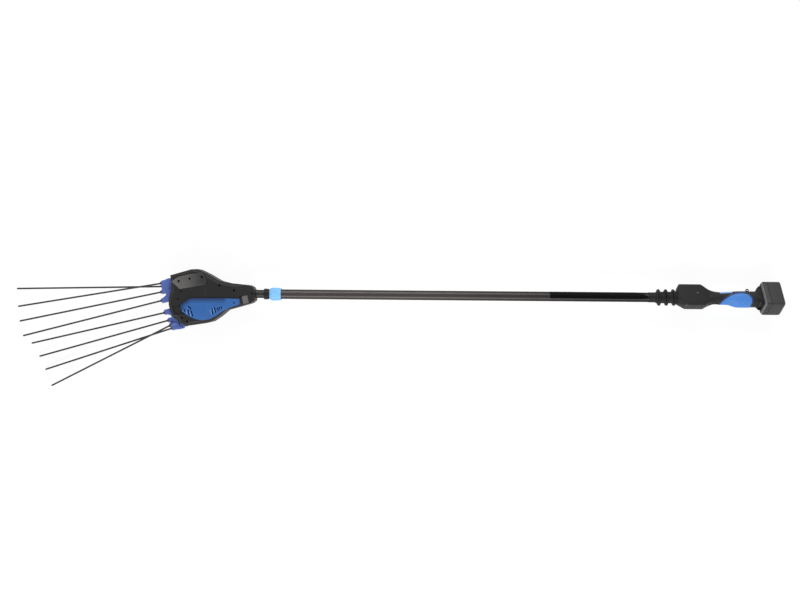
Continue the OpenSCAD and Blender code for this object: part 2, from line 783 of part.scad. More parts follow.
module upper_comb() color("#5f6ebe") on_upper() comb_bar();
module lower_comb() color("#5f6ebe") on_head() comb_bar();
module upper_sector() color("#c9c6ba") on_upper() sector(-2, 5, true);
module lower_sector() color("#c9c6ba") on_head() sector(-2.5, 6, false);
module upper_bushes() color("#b98a3e") on_upper() comb_bushes();
module lower_bushes() color("#b98a3e") on_head() comb_bushes();
module upper_tines() color("#3c3c3e") on_upper() comb_tines();
module lower_tines() color("#3c3c3e") on_head() comb_tines();
module upper_ferrules() color("#4a58a8") on_upper() comb_ferrules();
module lower_ferrules() color("#4a58a8") on_head() comb_ferrules();
module wrist_pin() color("#b9bcc2") on_head()
    disc(rod_to, -sector_t / 2, sector_t / 2 + wrist_stand, wrist_r);
module pivot_shafts() color("#b9bcc2") on_head() for (s = [-1, 1])
    disc([pivot_u, s * pivot_v], -slot_half - pivot_sink, slot_half + pivot_sink, pivot_d / 2);

// Outer pole, its band and the twist lock
module pole() color("#4b4747") tube_x(mouth_x, pole_end_x, pole_d / 2, pole_d / 2 - pole_wall);
boot_x = box_x - boot_l;
module pole_label() color("#161618")
    tube_x(boot_x - label_gap - label_l, boot_x - label_gap, pole_d / 2 + fit + label_t, pole_d / 2 + fit);
module collar_bush() color("#262628") tube_x(mouth_x, mouth_x + bush_l, bush_r, pole_d / 2 + fit);
module lock_collet() color("#d9d6cb") difference() {
    tube_x(mouth_x - collet_l - slip, mouth_x - slip, bush_r - slip, tube_d / 2 + run);
    slab(mouth_x - 2 * collet_l, mouth_x, -collet_slit / 2, collet_slit / 2, 0, pole_d);
}
module lock_collar() color("#73b9fa") difference() {
    translate([collar_front_x, 0, 0]) rotate([0, 90, 0]) rotate_extrude() polygon([
        [tube_d / 2 + slip, 0], [barrel_share * collar_d / 2, 0], [collar_d / 2, collar_l / 4],
        [collar_d / 2, 0.75 * collar_l], [barrel_share * collar_d / 2, collar_l],
        [bush_r + run, collar_l], [bush_r + run, collar_lip], [tube_d / 2 + slip, collar_lip]
    ]);
    for (k = [0 : flute_count - 1]) rotate([k * 360 / flute_count, 0, 0])
        translate([0, 0, collar_d / 2 + flute_r - flute_depth])
            rod_x(collar_front_x + collar_l / 6, collar_front_x + 5 * collar_l / 6, flute_r);
}
module ribbed_boot() color("#19191b") {
    gap = (boot_l - boot_ring_t) / boot_rings;
    translate([boot_x, 0, 0]) rotate([0, 90, 0]) rotate_extrude() polygon(concat(
        [[pole_d / 2 + fit, 0]],
        [for (k = [0 : boot_rings - 1]) let (z = boot_ring_t / 2 + k * gap) each [
            [boot_d / 2, z], [boot_ring_d / 2, z + boot_ring_t / 4],
            [boot_ring_d / 2, z + 3 * boot_ring_t / 4], [boot_d / 2, z + boot_ring_t]
        ]],
        [[boot_d / 2, boot_l], [pole_d / 2 + fit, boot_l]]
    ));
}

// Handle
module handle_loft(inset) {
    loft([for (row = handle_rows) handle_ring(row, inset)]);
}
module pad_prism() {
    rotate([handle_roll, 0, 0]) translate([0, 0, -palm_d]) linear_extrude(2 * palm_d)
        polygon([for (s = pad_shares_xy) [s[0] * handle_l, s[1] * palm_d / 2]]);
}
lever_x0 = lever_shares[0][0] * handle_l;
lever_x1 = lever_shares[6][0] * handle_l;
module lever_pocket() {
    rotate([-lever_roll, 0, 0])
        slab(
            lever_x0 - pocket_gap, lever_x1 + pocket_gap, -lever_width / 2 - slip, lever_width / 2 + slip,
            pocket_floor, palm_d
        );
}
module lever_block() {
    intersection() {
        rotate([-lever_roll, 0, 0])
            slab(
                lever_x0 - pocket_gap - cheek, lever_x1 + pocket_gap + cheek,
                -lever_width / 2 - slip - cheek, lever_width / 2 + slip + cheek,
                pocket_floor - cheek / 2, palm_d
            );
        slab(0, handle_l, -box_w, box_w, 0, 2 * palm_d);
    }
}
module handle_cavity() {
    difference() {
        handle_loft(handle_wall);
        slab(-overrun, pole_hold, -box_w, box_w, -box_h, box_h);
        for (p = handle_screw_at) disc(p, -box_h, box_h, handle_boss_r);
        lever_block();
        for (x = board_x + post_inset * [1, -1], s = [-1, 1])
            disc([x, s * (board_y - post_inset)], board_z + board_t, box_h, post_r);
    }
}
module handle_half(side) {
    difference() {
        union() {
            handle_loft(0);
            children();
        }
        handle_cavity();
        slab(
            -overrun, 2 * handle_l, -2 * box_w, 2 * box_w,
            side > 0 ? -2 * box_h : 0, side > 0 ? 0 : 2 * box_h
        );
        rod_x(-overrun, pole_hold + fit, pole_d / 2 + fit);
        difference() {
            pad_prism();
            handle_loft(pad_t);
        }
        lever_pocket();
        rotate([-lever_roll, 0, 0]) translate([lever_pin_x, lever_pin_half + run, lever_pin_z])
            rotate([90, 0, 0]) cylinder(h = 2 * (lever_pin_half + run), r = lever_pin_r + fit);
        for (p = handle_screw_at) {
            disc(p, -handle_screw_half, handle_screw_half + overrun, handle_screw_r + fit);
            disc(p, -box_h, -handle_screw_half, handle_screw_head + slip);
        }
        disc([button_x, 0], 0, box_h, button_r + run);
    }
}
module eye_lug() {
    rotate([handle_roll, 0, 0]) translate([eye_share * handle_l, eye_y, -eye_t / 2]) {
        cylinder(h = eye_t, r = eye_d / 2 + eye_wall);
        slab(-eye_d / 2 - eye_wall, eye_d / 2 + eye_wall, -eye_d - eye_wall, 0, 0, eye_t);
    }
}
module handle_top() color("#303032") on_handle() difference() {
    handle_half(1) eye_lug();
    rotate([handle_roll, 0, 0]) translate([eye_share * handle_l, eye_y, -eye_t])
        cylinder(h = 2 * eye_t, r = eye_d / 2);
}
module handle_bottom() color("#303032") on_handle() handle_half(-1);
module grip_pad() color("#5a91eb") on_handle() difference() {
    intersection() {
        handle_loft(0);
        pad_prism();
    }
    handle_loft(pad_t);
    lever_pocket();
}
module control_board() color("#2f6b3f") on_handle()
    slab(board_x[0], board_x[1], -board_y, board_y, board_z, board_z + board_t);
module power_button() color("#8a8d92") on_handle() {
    roof = box_h / 2 - handle_wall;
    disc([button_x, 0], roof - slip - button_flange_t, roof - slip, button_r + button_flange);
    disc([button_x, 0], roof - slip, box_h / 2 + button_proud, button_r);
}
module handle_screws() color("#6c6f74") on_handle() for (p = handle_screw_at) {
    disc(p, -handle_screw_half, handle_screw_half, handle_screw_r);
    disc(p, -handle_screw_half - handle_screw_head, -handle_screw_half, handle_screw_head);
}
module thumb_lever() color("#8fc3f2") on_lever() difference() {
    translate([0, lever_width / 2, 0]) rotate([90, 0, 0]) linear_extrude(lever_width)
        polygon([for (s = lever_shares) [s[0] * handle_l, s[1] * grip_d]]);
    translate([lever_pin_x, lever_width, lever_pin_z]) rotate([90, 0, 0])
        cylinder(h = 2 * lever_width, r = lever_pin_r + run);
}
module lever_pin() color("#b9bcc2") on_lever()
    translate([lever_pin_x, lever_pin_half, lever_pin_z]) rotate([90, 0, 0])
        cylinder(h = 2 * lever_pin_half, r = lever_pin_r);
module lever_spring() color("#b9bcc2") on_lever()
    ring_z(
        [spring_share * handle_l, 0], pocket_floor, pocket_floor + spring_h_share * grip_d, spring_r,
        spring_r / 2
    );
module micro_switch() color("#3d3d40") on_lever()
    slab(
        switch_shares[0] * handle_l, switch_shares[1] * handle_l, -switch_half, switch_half, pocket_floor,
        pocket_floor + switch_h
    );

// Battery dock and pack
module tongue(gap, y0, y1) {
    half = head_half_w + gap;
    slab(dock_face - tongue_l - gap, dock_face - stem_l + gap, y0, y1, -half, half);
    slab(dock_face - stem_l, pack_x + overrun, y0, y1, -stem_half - gap, stem_half + gap);
}
function pack_ring(x, hw, hh, r) = [for (q = corner_pts(hw, hh, r)) [x, q[0], q[1]]];
module battery_dock() color("#343436") on_handle() difference() {
    loft([
        handle_ring(handle_rows[len(handle_rows) - 1], 0),
        pack_ring(dock_face - stem_l, dock_w / 2, dock_h / 2, dock_corner),
        pack_ring(dock_face, dock_w / 2, dock_h / 2, dock_corner)
    ]);
    tongue(slip, -pack_w, tongue_ahead + slip);
}
module dock_terminals() color("#c8a24a") on_handle() for (s = [-1, 1])
    slab(
        dock_face - tongue_l - slip, dock_face - tongue_l - slip + blade_l, blade_from, blade_to,
        s * blade_z - blade_t / 2, s * blade_z + blade_t / 2
    );
module pack_loft(inset) {
    hw = pack_w / 2 - inset;
    hh = pack_h / 2 - inset;
    r = pack_corner - inset;
    x0 = inset > 0 ? pack_cavity_x : pack_x;
    x1 = pack_x + pack_l - inset;
    small = pack_lip_share * pack_bevel;
    lip = inset > 0 ? 0 : small;
    end = inset > 0 ? small : pack_bevel;
    run_out = inset > 0 ? small : pack_run_share * pack_bevel;
    loft([
        pack_ring(x0, hw - lip, hh - lip, r),
        pack_ring(x0 + pack_bevel, hw, hh, r),
        pack_ring(x1 - run_out, hw, hh, r),
        pack_ring(x1, hw - end, hh - end, r)
    ]);
}
module pack_case(x0, x1) {
    difference() {
        intersection() {
            pack_loft(0);
            slab(x0, x1, -pack_w, pack_w, -pack_h, pack_h);
        }
        pack_loft(pack_wall);
    }
}
module battery_case_dock() color("#4a4a4c") on_handle() difference() {
    union() {
        pack_case(pack_x - overrun, pack_x + pack_split);
        tongue(0, -tongue_back, tongue_ahead);
    }
    for (s = [-1, 1]) slab(
        dock_face - tongue_l - overrun, dock_face - tongue_l + blade_l + slip, blade_from - overrun, pack_w,
        s * blade_z - blade_t, s * blade_z + blade_t
    );
    slab(latch_x - slip, latch_x + latch_l + slip, -pack_w, 0, -latch_half - slip, latch_half + slip);
}
module battery_case_end() color("#4a4a4c") on_handle()
    pack_case(pack_x + pack_split, pack_x + 2 * pack_l);
cell_places = [[0, 0], [1, 1], [-1, 1], [1, -1], [-1, -1]];
module cells(r, y0, y1) {
    for (c = cell_places)
        translate([cell_x + c[0] * cell_pitch, y1, c[1] * cell_pitch]) rotate([90, 0, 0])
            cylinder(h = y1 - y0, r = r);
}
module battery_cells() color("#3f8a5a") on_handle()
    cells(cell_d / 2, cell_shift - cell_l / 2, cell_shift + cell_l / 2);
module cell_holders() color("#e2dfd5") on_handle() {
    half_x = cell_pitch + cell_d / 2 + overrun;
    for (s = [-1, 1]) difference() {
        y = cell_shift + s * (cell_l / 2 - holder_inset - holder_t / 2);
        intersection() {
            slab(cell_x - half_x, cell_x + half_x, y - holder_t / 2, y + holder_t / 2, -pack_h, pack_h);
            pack_loft(pack_wall + slip);
        }
        cells(cell_d / 2 + fit, y - holder_t, y + holder_t);
    }
}
module battery_board() color("#2f6b3f") on_handle()
    slab(pack_cavity_x, pack_cavity_x + board_t - slip, -pack_w / 3, pack_w / 3, -pack_h / 3, pack_h / 3);
module battery_latch() color("#2a2a2c") on_handle() {
    wall_y = -pack_w / 2 + pack_wall;
    slab(latch_x, latch_x + latch_l, -pack_w / 2 - latch_proud, wall_y + slip, -latch_half, latch_half);
    slab(
        latch_x, latch_x + latch_l, wall_y + slip, wall_y + slip + latch_flange_t,
        -latch_half - latch_flange, latch_half + latch_flange
    );
}

front_shell();
rear_shell();
front_cover();
rear_cover();
shell_screws();
inner_tube();
stop_ring();
tube_plugs();
head_cable();
motor_can();
motor_stator();
motor_windings();
motor_end_plate();
ball_bearings();
pivot_shafts();
crank_shaft();
drive_gear();
eccentric();
motor_rotor();
motor_shaft();
pinion();
conrod();
conrod_bearing();
upper_comb();
upper_sector();
upper_bushes();
upper_tines();
upper_ferrules();
wrist_pin();
lower_comb();
lower_sector();
lower_bushes();
lower_tines();
lower_ferrules();
pole();
pole_label();
collar_bush();
lock_collet();
coiled_cable();
lock_collar();
ribbed_boot();
handle_top();
handle_bottom();
grip_pad();
control_board();
thumb_lever();
lever_pin();
lever_spring();
micro_switch();
power_button();
handle_screws();
battery_dock();
dock_terminals();
battery_case_dock();
battery_case_end();
battery_cells();
cell_holders();
battery_board();
battery_latch();
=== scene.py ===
"""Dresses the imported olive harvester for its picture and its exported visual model.

Meshes are shaped in millimetres in the frame of the sub-assembly they belong to, and are put
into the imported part's frame, in metres, when they are placed.
"""

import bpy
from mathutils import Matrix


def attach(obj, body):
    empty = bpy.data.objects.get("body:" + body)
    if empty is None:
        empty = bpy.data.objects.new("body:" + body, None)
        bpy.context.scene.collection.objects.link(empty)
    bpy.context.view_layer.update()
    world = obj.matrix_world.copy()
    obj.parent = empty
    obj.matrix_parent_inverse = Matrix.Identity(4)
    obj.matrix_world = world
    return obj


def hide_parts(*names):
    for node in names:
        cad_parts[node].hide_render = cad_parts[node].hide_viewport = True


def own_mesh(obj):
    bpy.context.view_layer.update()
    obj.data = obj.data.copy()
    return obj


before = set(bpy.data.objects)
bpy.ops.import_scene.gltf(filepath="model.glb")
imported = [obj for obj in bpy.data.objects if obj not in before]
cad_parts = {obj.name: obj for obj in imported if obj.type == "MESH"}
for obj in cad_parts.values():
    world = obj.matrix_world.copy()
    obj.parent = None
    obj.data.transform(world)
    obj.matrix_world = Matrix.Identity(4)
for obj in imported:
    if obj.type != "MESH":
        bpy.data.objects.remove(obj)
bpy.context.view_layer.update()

import logging
import math
from dataclasses import dataclass
from enum import Enum
from typing import Any, Callable, Iterable, Optional, Sequence, Union

import bmesh
import bpy
from mathutils import Matrix, Vector

LOG = logging.getLogger("harvester")
MILLI = 0.001
TOUCH = 1e-4
FAR = 60.0
HEAD_AT = -0.5332
HEAD_TURN = 194.1
GRIP_AT = 0.806
GRIP_ROLL = 35.0
LEVER_ROLL = -30.0
AHEAD = (1.0, 0.0, 0.0)
UP = (0.0, 0.0, 1.0)
ORIGIN = (0.0, 0.0, 0.0)

Mesh = bmesh.types.BMesh
Socket = bpy.types.NodeSocket
Point2 = tuple[float, float]
Colour = tuple[int, int, int]
Tine = tuple[float, float, float, float]
Value = Union[float, Socket]
Tint = Union[Sequence[float], Socket]
Inputs = dict[Union[str, int], Any]


def spin(degrees: float, axis: str) -> Matrix:
    """A turn about an axis."""
    return Matrix.Rotation(math.radians(degrees), 4, axis)


def shift(x: float, y: float = 0.0, z: float = 0.0) -> Matrix:
    """A move along the axes."""
    return Matrix.Translation((x, y, z))


class Place(Enum):
    """The frames that the sub-assemblies are shaped in."""

    POLE = "along the pole, from the clip point"
    HEAD = "head, from the tilt point, u ahead and v down the picture"
    HEAD_REAR = "the head's far side"
    COMB_UPPER = "the comb moulding turned over"
    GRIP = "handle, from the mouth of the control box"
    LEVER = "thumb lever"

    @property
    def matrix(self) -> Matrix:
        """The turn and place of this frame.

        Returns:
            The matrix from millimetres to the part's metres.
        """
        head = shift(HEAD_AT) @ spin(HEAD_TURN, "Z")
        grip = shift(GRIP_AT) @ spin(-GRIP_ROLL, "X")
        turns = {
            Place.POLE: Matrix.Identity(4),
            Place.HEAD: head,
            Place.HEAD_REAR: head @ Matrix.Diagonal((1.0, 1.0, -1.0, 1.0)),
            Place.COMB_UPPER: head @ Matrix.Rotation(math.pi, 4, "X"),
            Place.GRIP: grip,
            Place.LEVER: grip @ spin(LEVER_ROLL, "X"),
        }
        return turns[self] @ Matrix.Scale(MILLI, 4)


# Shading


class Surface(Enum):
    """How the fine relief of a finish is made."""

    MOULDED = "spark-eroded plastic grain"
    DRAWN = "lines drawn along the pole"
    TURNED = "soft machining marks"
    WOVEN = "crossed fibres"
    SOFT = "rubber skin"


class Graph:
    """A node tree that is being wired."""

    def __init__(self, tree: bpy.types.NodeTree) -> None:
        """Keeps the tree."""
        self.tree = tree

    def wire(self, sockets: Sequence[Socket], values: Inputs) -> None:
        """Sets a node's inputs.

        Args:
            sockets: The inputs.
            values: Plain values, or outputs to link, by the input's name or number.
        """
        for key, value in values.items():
            if isinstance(value, Socket):
                self.tree.links.new(value, sockets[key])
            else:
                sockets[key].default_value = value

    def node(
        self, kind: str, inputs: Optional[Inputs] = None, **settings: Any
    ) -> bpy.types.Node:
        """Adds a node.

        Args:
            kind: The node's type name.
            inputs: Values or output sockets, by input name or number.
            settings: The node's own properties.

        Returns:
            The new node.
        """
        node = self.tree.nodes.new(kind)
        for name, value in settings.items():
            setattr(node, name, value)
        self.wire(node.inputs, inputs or {})
        return node

    def group(self, tree: bpy.types.NodeTree, **inputs: Value) -> Sequence[Socket]:
        """Adds a shared group and returns its outputs."""
        return self.node("ShaderNodeGroup", inputs, node_tree=tree).outputs

    def attribute(self, name: str) -> Socket:
        """Reads one of the piece's own attributes and returns its value."""
        return self.node("ShaderNodeAttribute", attribute_name=name).outputs["Fac"]

    def math(self, operation: str, first: Value, second: Value = 0.0) -> Socket:
        """Adds a sum of two values and returns its output."""
        return self.node("ShaderNodeMath", {0: first, 1: second}, operation=operation).outputs[0]

    def ramp(
        self, value: Value, low: float, high: float, to_low: Value = 0.0, to_high: Value = 1.0
    ) -> Socket:
        """Maps a value from one range to another, clamped, and returns the output."""
        ends = {"From Min": low, "From Max": high, "To Min": to_low, "To Max": to_high}
        return self.node("ShaderNodeMapRange", {"Value": value, **ends}).outputs["Result"]

    def blend(self, factor: Value, first: Tint, second: Tint, mode: str = "MIX") -> Socket:
        """Mixes two colours and returns the result."""
        inputs = {0: factor, 6: first, 7: second}
        return self.node("ShaderNodeMix", inputs, data_type="RGBA", blend_type=mode).outputs[2]

    def noise(self, vector: Socket, scale: Value, detail: float = 2.0) -> Socket:
        """Adds a noise texture and returns its value."""
        inputs = {"Vector": vector, "Scale": scale, "Detail": detail}
        return self.node("ShaderNodeTexNoise", inputs).outputs["Fac"]

    def stretched(self, vector: Socket, scale: Sequence[float], turn: float = 0.0) -> Socket:
        """Scales and turns coordinates and returns them."""
        inputs = {"Vector": vector, "Scale": scale, "Rotation": (0.0, 0.0, math.radians(turn))}
        return self.node("ShaderNodeMapping", inputs).outputs["Vector"]


class Effects:
    """Shader node groups that the finishes share, each built once."""

    def __init__(self) -> None:
        """Starts with no groups."""
        self.made: dict[str, bpy.types.NodeTree] = {}

    def once(
        self, name: str, inputs: dict[str, float], outputs: Sequence[str],
        wiring: Callable[[Graph, Sequence[Socket]], Sequence[Socket]],
    ) -> bpy.types.NodeTree:
        """Builds a group with named sockets, or gives the one already built.

        Args:
            name: The group's name.
            inputs: Its inputs beside Vector, with their values.
            outputs: The names of its values.
            wiring: Wires the group from its inputs and gives the values in order.

        Returns:
            The group.
        """
        if name not in self.made:
            tree = self.made[name] = bpy.data.node_groups.new(name, "ShaderNodeTree")
            new_socket = tree.interface.new_socket
            new_socket("Vector", in_out="INPUT", socket_type="NodeSocketVector")
            for key, value in inputs.items():
                socket = new_socket(key, in_out="INPUT", socket_type="NodeSocketFloat")
                socket.default_value = value
            for key in outputs:
                new_socket(key, in_out="OUTPUT", socket_type="NodeSocketFloat")
            graph = Graph(tree)
            values = wiring(graph, graph.node("NodeGroupInput").outputs)
            graph.node("NodeGroupOutput", dict(zip(outputs, values)))
        return self.made[name]

    @staticmethod
    def height(graph: Graph, surface: Surface, vector: Socket, size: Socket) -> Socket:
        """Wires the fine relief of a surface.

        Args:
            graph: The group that is wired.
            surface: The kind of surface.
            vector: The coordinates.
            size: The scale of the relief.

        Returns:
            The height.
        """
        if surface is Surface.DRAWN:
            return graph.noise(graph.stretched(vector, (0.006, 1.0, 1.0)), size, 3.0)
        if surface is Surface.TURNED:
            return graph.noise(graph.stretched(vector, (1.0, 1.0, 0.12)), size)
        if surface is Surface.WOVEN:
            waves = []
            for turn in (45.0, -45.0):
                along = graph.stretched(vector, (1.0, 1.0, 1.0), turn)
                inputs = {"Vector": along, "Scale": size, "Distortion": 0.6}
                waves.append(graph.node("ShaderNodeTexWave", inputs).outputs["Fac"])
            return graph.math("MAXIMUM", *waves)
        if surface is Surface.SOFT:
            cells = graph.node("ShaderNodeTexVoronoi", {"Vector": vector, "Scale": size})
            return graph.math("MULTIPLY", cells.outputs["Distance"], 0.8)
        fine = graph.noise(vector, graph.math("MULTIPLY", size, 2.7), 1.0)
        return graph.math("ADD", graph.noise(vector, size), graph.math("MULTIPLY", fine, 0.5))

    def relief(self, surface: Surface) -> bpy.types.NodeTree:
        """The group that gives a surface's relief.

        Args:
            surface: The kind of surface.

        Returns:
            A group with the outputs Height, Tint and Rough.
        """

        def wiring(graph: Graph, given: Sequence[Socket]) -> tuple[Socket, Socket, Socket]:
            """Wires the fine relief, the wide change of tint and the change of gloss."""
            vector, mottle = given["Vector"], given["Mottle"]
            low, high = (graph.math(sign, 1.0, mottle) for sign in ("SUBTRACT", "ADD"))
            tint = graph.ramp(graph.noise(vector, 26.0, 5.0), 0.3, 0.7, low, high)
            fine = self.height(graph, surface, vector, given["Size"])
            return fine, tint, graph.noise(vector, 110.0, 4.0)

        inputs, outputs = {"Size": 900.0, "Mottle": 0.06}, ("Height", "Tint", "Rough")
        return self.once(f"relief_{surface.name.lower()}", inputs, outputs, wiring)

    def wear_and_light(self) -> bpy.types.NodeTree:
        """The group that brightens edges, as abrasion and as painted highlights.

        Returns:
            A group whose Mask is 1 where an edge is abraded and painted with a highlight.
        """

        def wiring(graph: Graph, given: Sequence[Socket]) -> tuple[Socket]:
            """Wires the patchy mask along the edges."""
            patchy = graph.ramp(graph.noise(given["Vector"], 70.0, 6.0), 0.38, 0.66)
            edge = graph.math("MULTIPLY", patchy, given["Edge"])
            return (graph.math("MULTIPLY", edge, given["Amount"]),)

        return self.once("edge_wear_and_light", {"Edge": 0.0, "Amount": 0.5}, ("Mask",), wiring)

    def scuffs(self) -> bpy.types.NodeTree:
        """The group of fine rubbed lines and dusty patches.

        Returns:
            A group whose Mask is 1 where a line runs.
        """

        def wiring(graph: Graph, given: Sequence[Socket]) -> tuple[Socket]:
            """Wires two runs of lines over a haze."""
            vector = given["Vector"]
            mask = graph.ramp(graph.noise(vector, 9.0, 6.0), 0.5, 0.8, 0.0, 0.35)
            for scale, turn, low, high in (
                ((14.0, 420.0, 60.0), 23.0, 0.66, 0.76), ((380.0, 11.0, 50.0), -17.0, 0.67, 0.77),
            ):
                lines = graph.noise(graph.stretched(vector, scale, turn), 1.0, 4.0)
                mask = graph.math("MAXIMUM", mask, graph.ramp(lines, low, high))
            return (graph.math("MULTIPLY", mask, given["Amount"]),)

        return self.once("scuffs", {"Amount": 0.3}, ("Mask",), wiring)


def linear(colour: Colour) -> tuple[float, float, float, float]:
    """Turns a colour as seen on a screen into the linear values that shaders take.

    Args:
        colour: Red, green and blue, 0 to 255.

    Returns:
        The linear values and an alpha of 1.
    """
    parts = [c / 255.0 for c in colour]
    lit = [c / 12.92 if c <= 0.04045 else ((c + 0.055) / 1.055) ** 2.4 for c in parts]
    return (*lit, 1.0)


@dataclass(frozen=True)
class Finish:
    """One material: its colour, gloss and relief, and the lighter colour of abraded edges, which
    also paints highlights.
    """

    name: str
    slot: str
    colour: Colour
    rough: float
    surface: Surface = Surface.MOULDED
    size: float = 900.0
    depth: float = 0.00012
    strength: float = 0.35
    mottle: float = 0.07
    spread: float = 0.08
    # The lighter colour of abraded edges and scuffs; on bevels, box corners, the cheek and the
    # vent lips it also paints highlights.
    rubbed_and_lit: Colour = (120, 118, 116)
    wear_and_light: float = 0.35
    scuff: float = 0.10
    scuff_dulls: float = 0.2
    metallic: float = 0.0
    coat: float = 0.0
    coat_rough: float = 0.12
    specular: float = 0.5
    edge_tint: float = 1.0
    # A dark second tone given per face: the collar's own dark seal, and painted shade along the
    # cover's upper edge.
    two_tone_and_shade: Optional[Colour] = None
    # A ramp along X to a darker colour: painted shade across the pad; on the pole it only makes it
    # darker towards the handle.
    darker_along_x: Optional[tuple[float, float, Colour]] = None

    def material(self, effects: Effects) -> bpy.types.Material:
        """Builds the material, or gives the one already built.

        Args:
            effects: The shared shader groups.

        Returns:
            The material.
        """
        known = bpy.data.materials.get(self.name)
        if known is not None:
            return known
        material = bpy.data.materials.new(self.name)
        material.use_nodes = True
        graph = Graph(material.node_tree)
        place = graph.node("ShaderNodeTexCoord").outputs["Object"]
        relief = graph.group(
            effects.relief(self.surface), Vector=place, Size=self.size, Mottle=self.mottle
        )
        edge = graph.attribute("worn_and_lit")
        wear_and_light = graph.group(effects.wear_and_light(), Vector=place, Edge=edge, Amount=self.wear_and_light)["Mask"]
        scuff = graph.group(effects.scuffs(), Vector=place, Amount=self.scuff)["Mask"]
        base = linear(self.colour)
        # Darker along X: painted shade on the pad, a darker tone towards the handle on the pole.
        if self.darker_along_x is not None:
            start, end, far = self.darker_along_x
            along = graph.node("ShaderNodeSeparateXYZ", {"Vector": place}).outputs["X"]
            base = graph.blend(graph.ramp(along, start, end), base, linear(far))
        base = graph.blend(1.0, base, relief["Tint"], "MULTIPLY")
        # The dark second tone: the collar's seal, and painted shade on the cover.
        if self.two_tone_and_shade is not None:
            base = graph.blend(graph.attribute("two_tone_and_shade"), base, linear(self.two_tone_and_shade))
        # Abraded edges and scuffs take the lighter colour; on bevels this also paints highlights.
        for mask in (wear_and_light, scuff):
            base = graph.blend(mask, base, linear(self.rubbed_and_lit))
        low, high = max(self.rough - self.spread, 0.03), self.rough + self.spread
        rough = graph.ramp(relief["Rough"], 0.25, 0.75, low, high)
        rough = graph.math("ADD", rough, graph.math("MULTIPLY", scuff, self.scuff_dulls))
        bumps = {"Height": relief["Height"], "Strength": self.strength, "Distance": self.depth}
        graph.wire(material.node_tree.nodes["Principled BSDF"].inputs, {
            "Base Color": base,
            "Roughness": rough,
            "Normal": graph.node("ShaderNodeBump", bumps).outputs["Normal"],
            "Metallic": self.metallic,
            "Coat Weight": self.coat,
            "Coat Roughness": self.coat_rough,
            "Specular IOR Level": self.specular,
            "Specular Tint": (self.edge_tint, self.edge_tint, self.edge_tint, 1.0),
        })
        return material


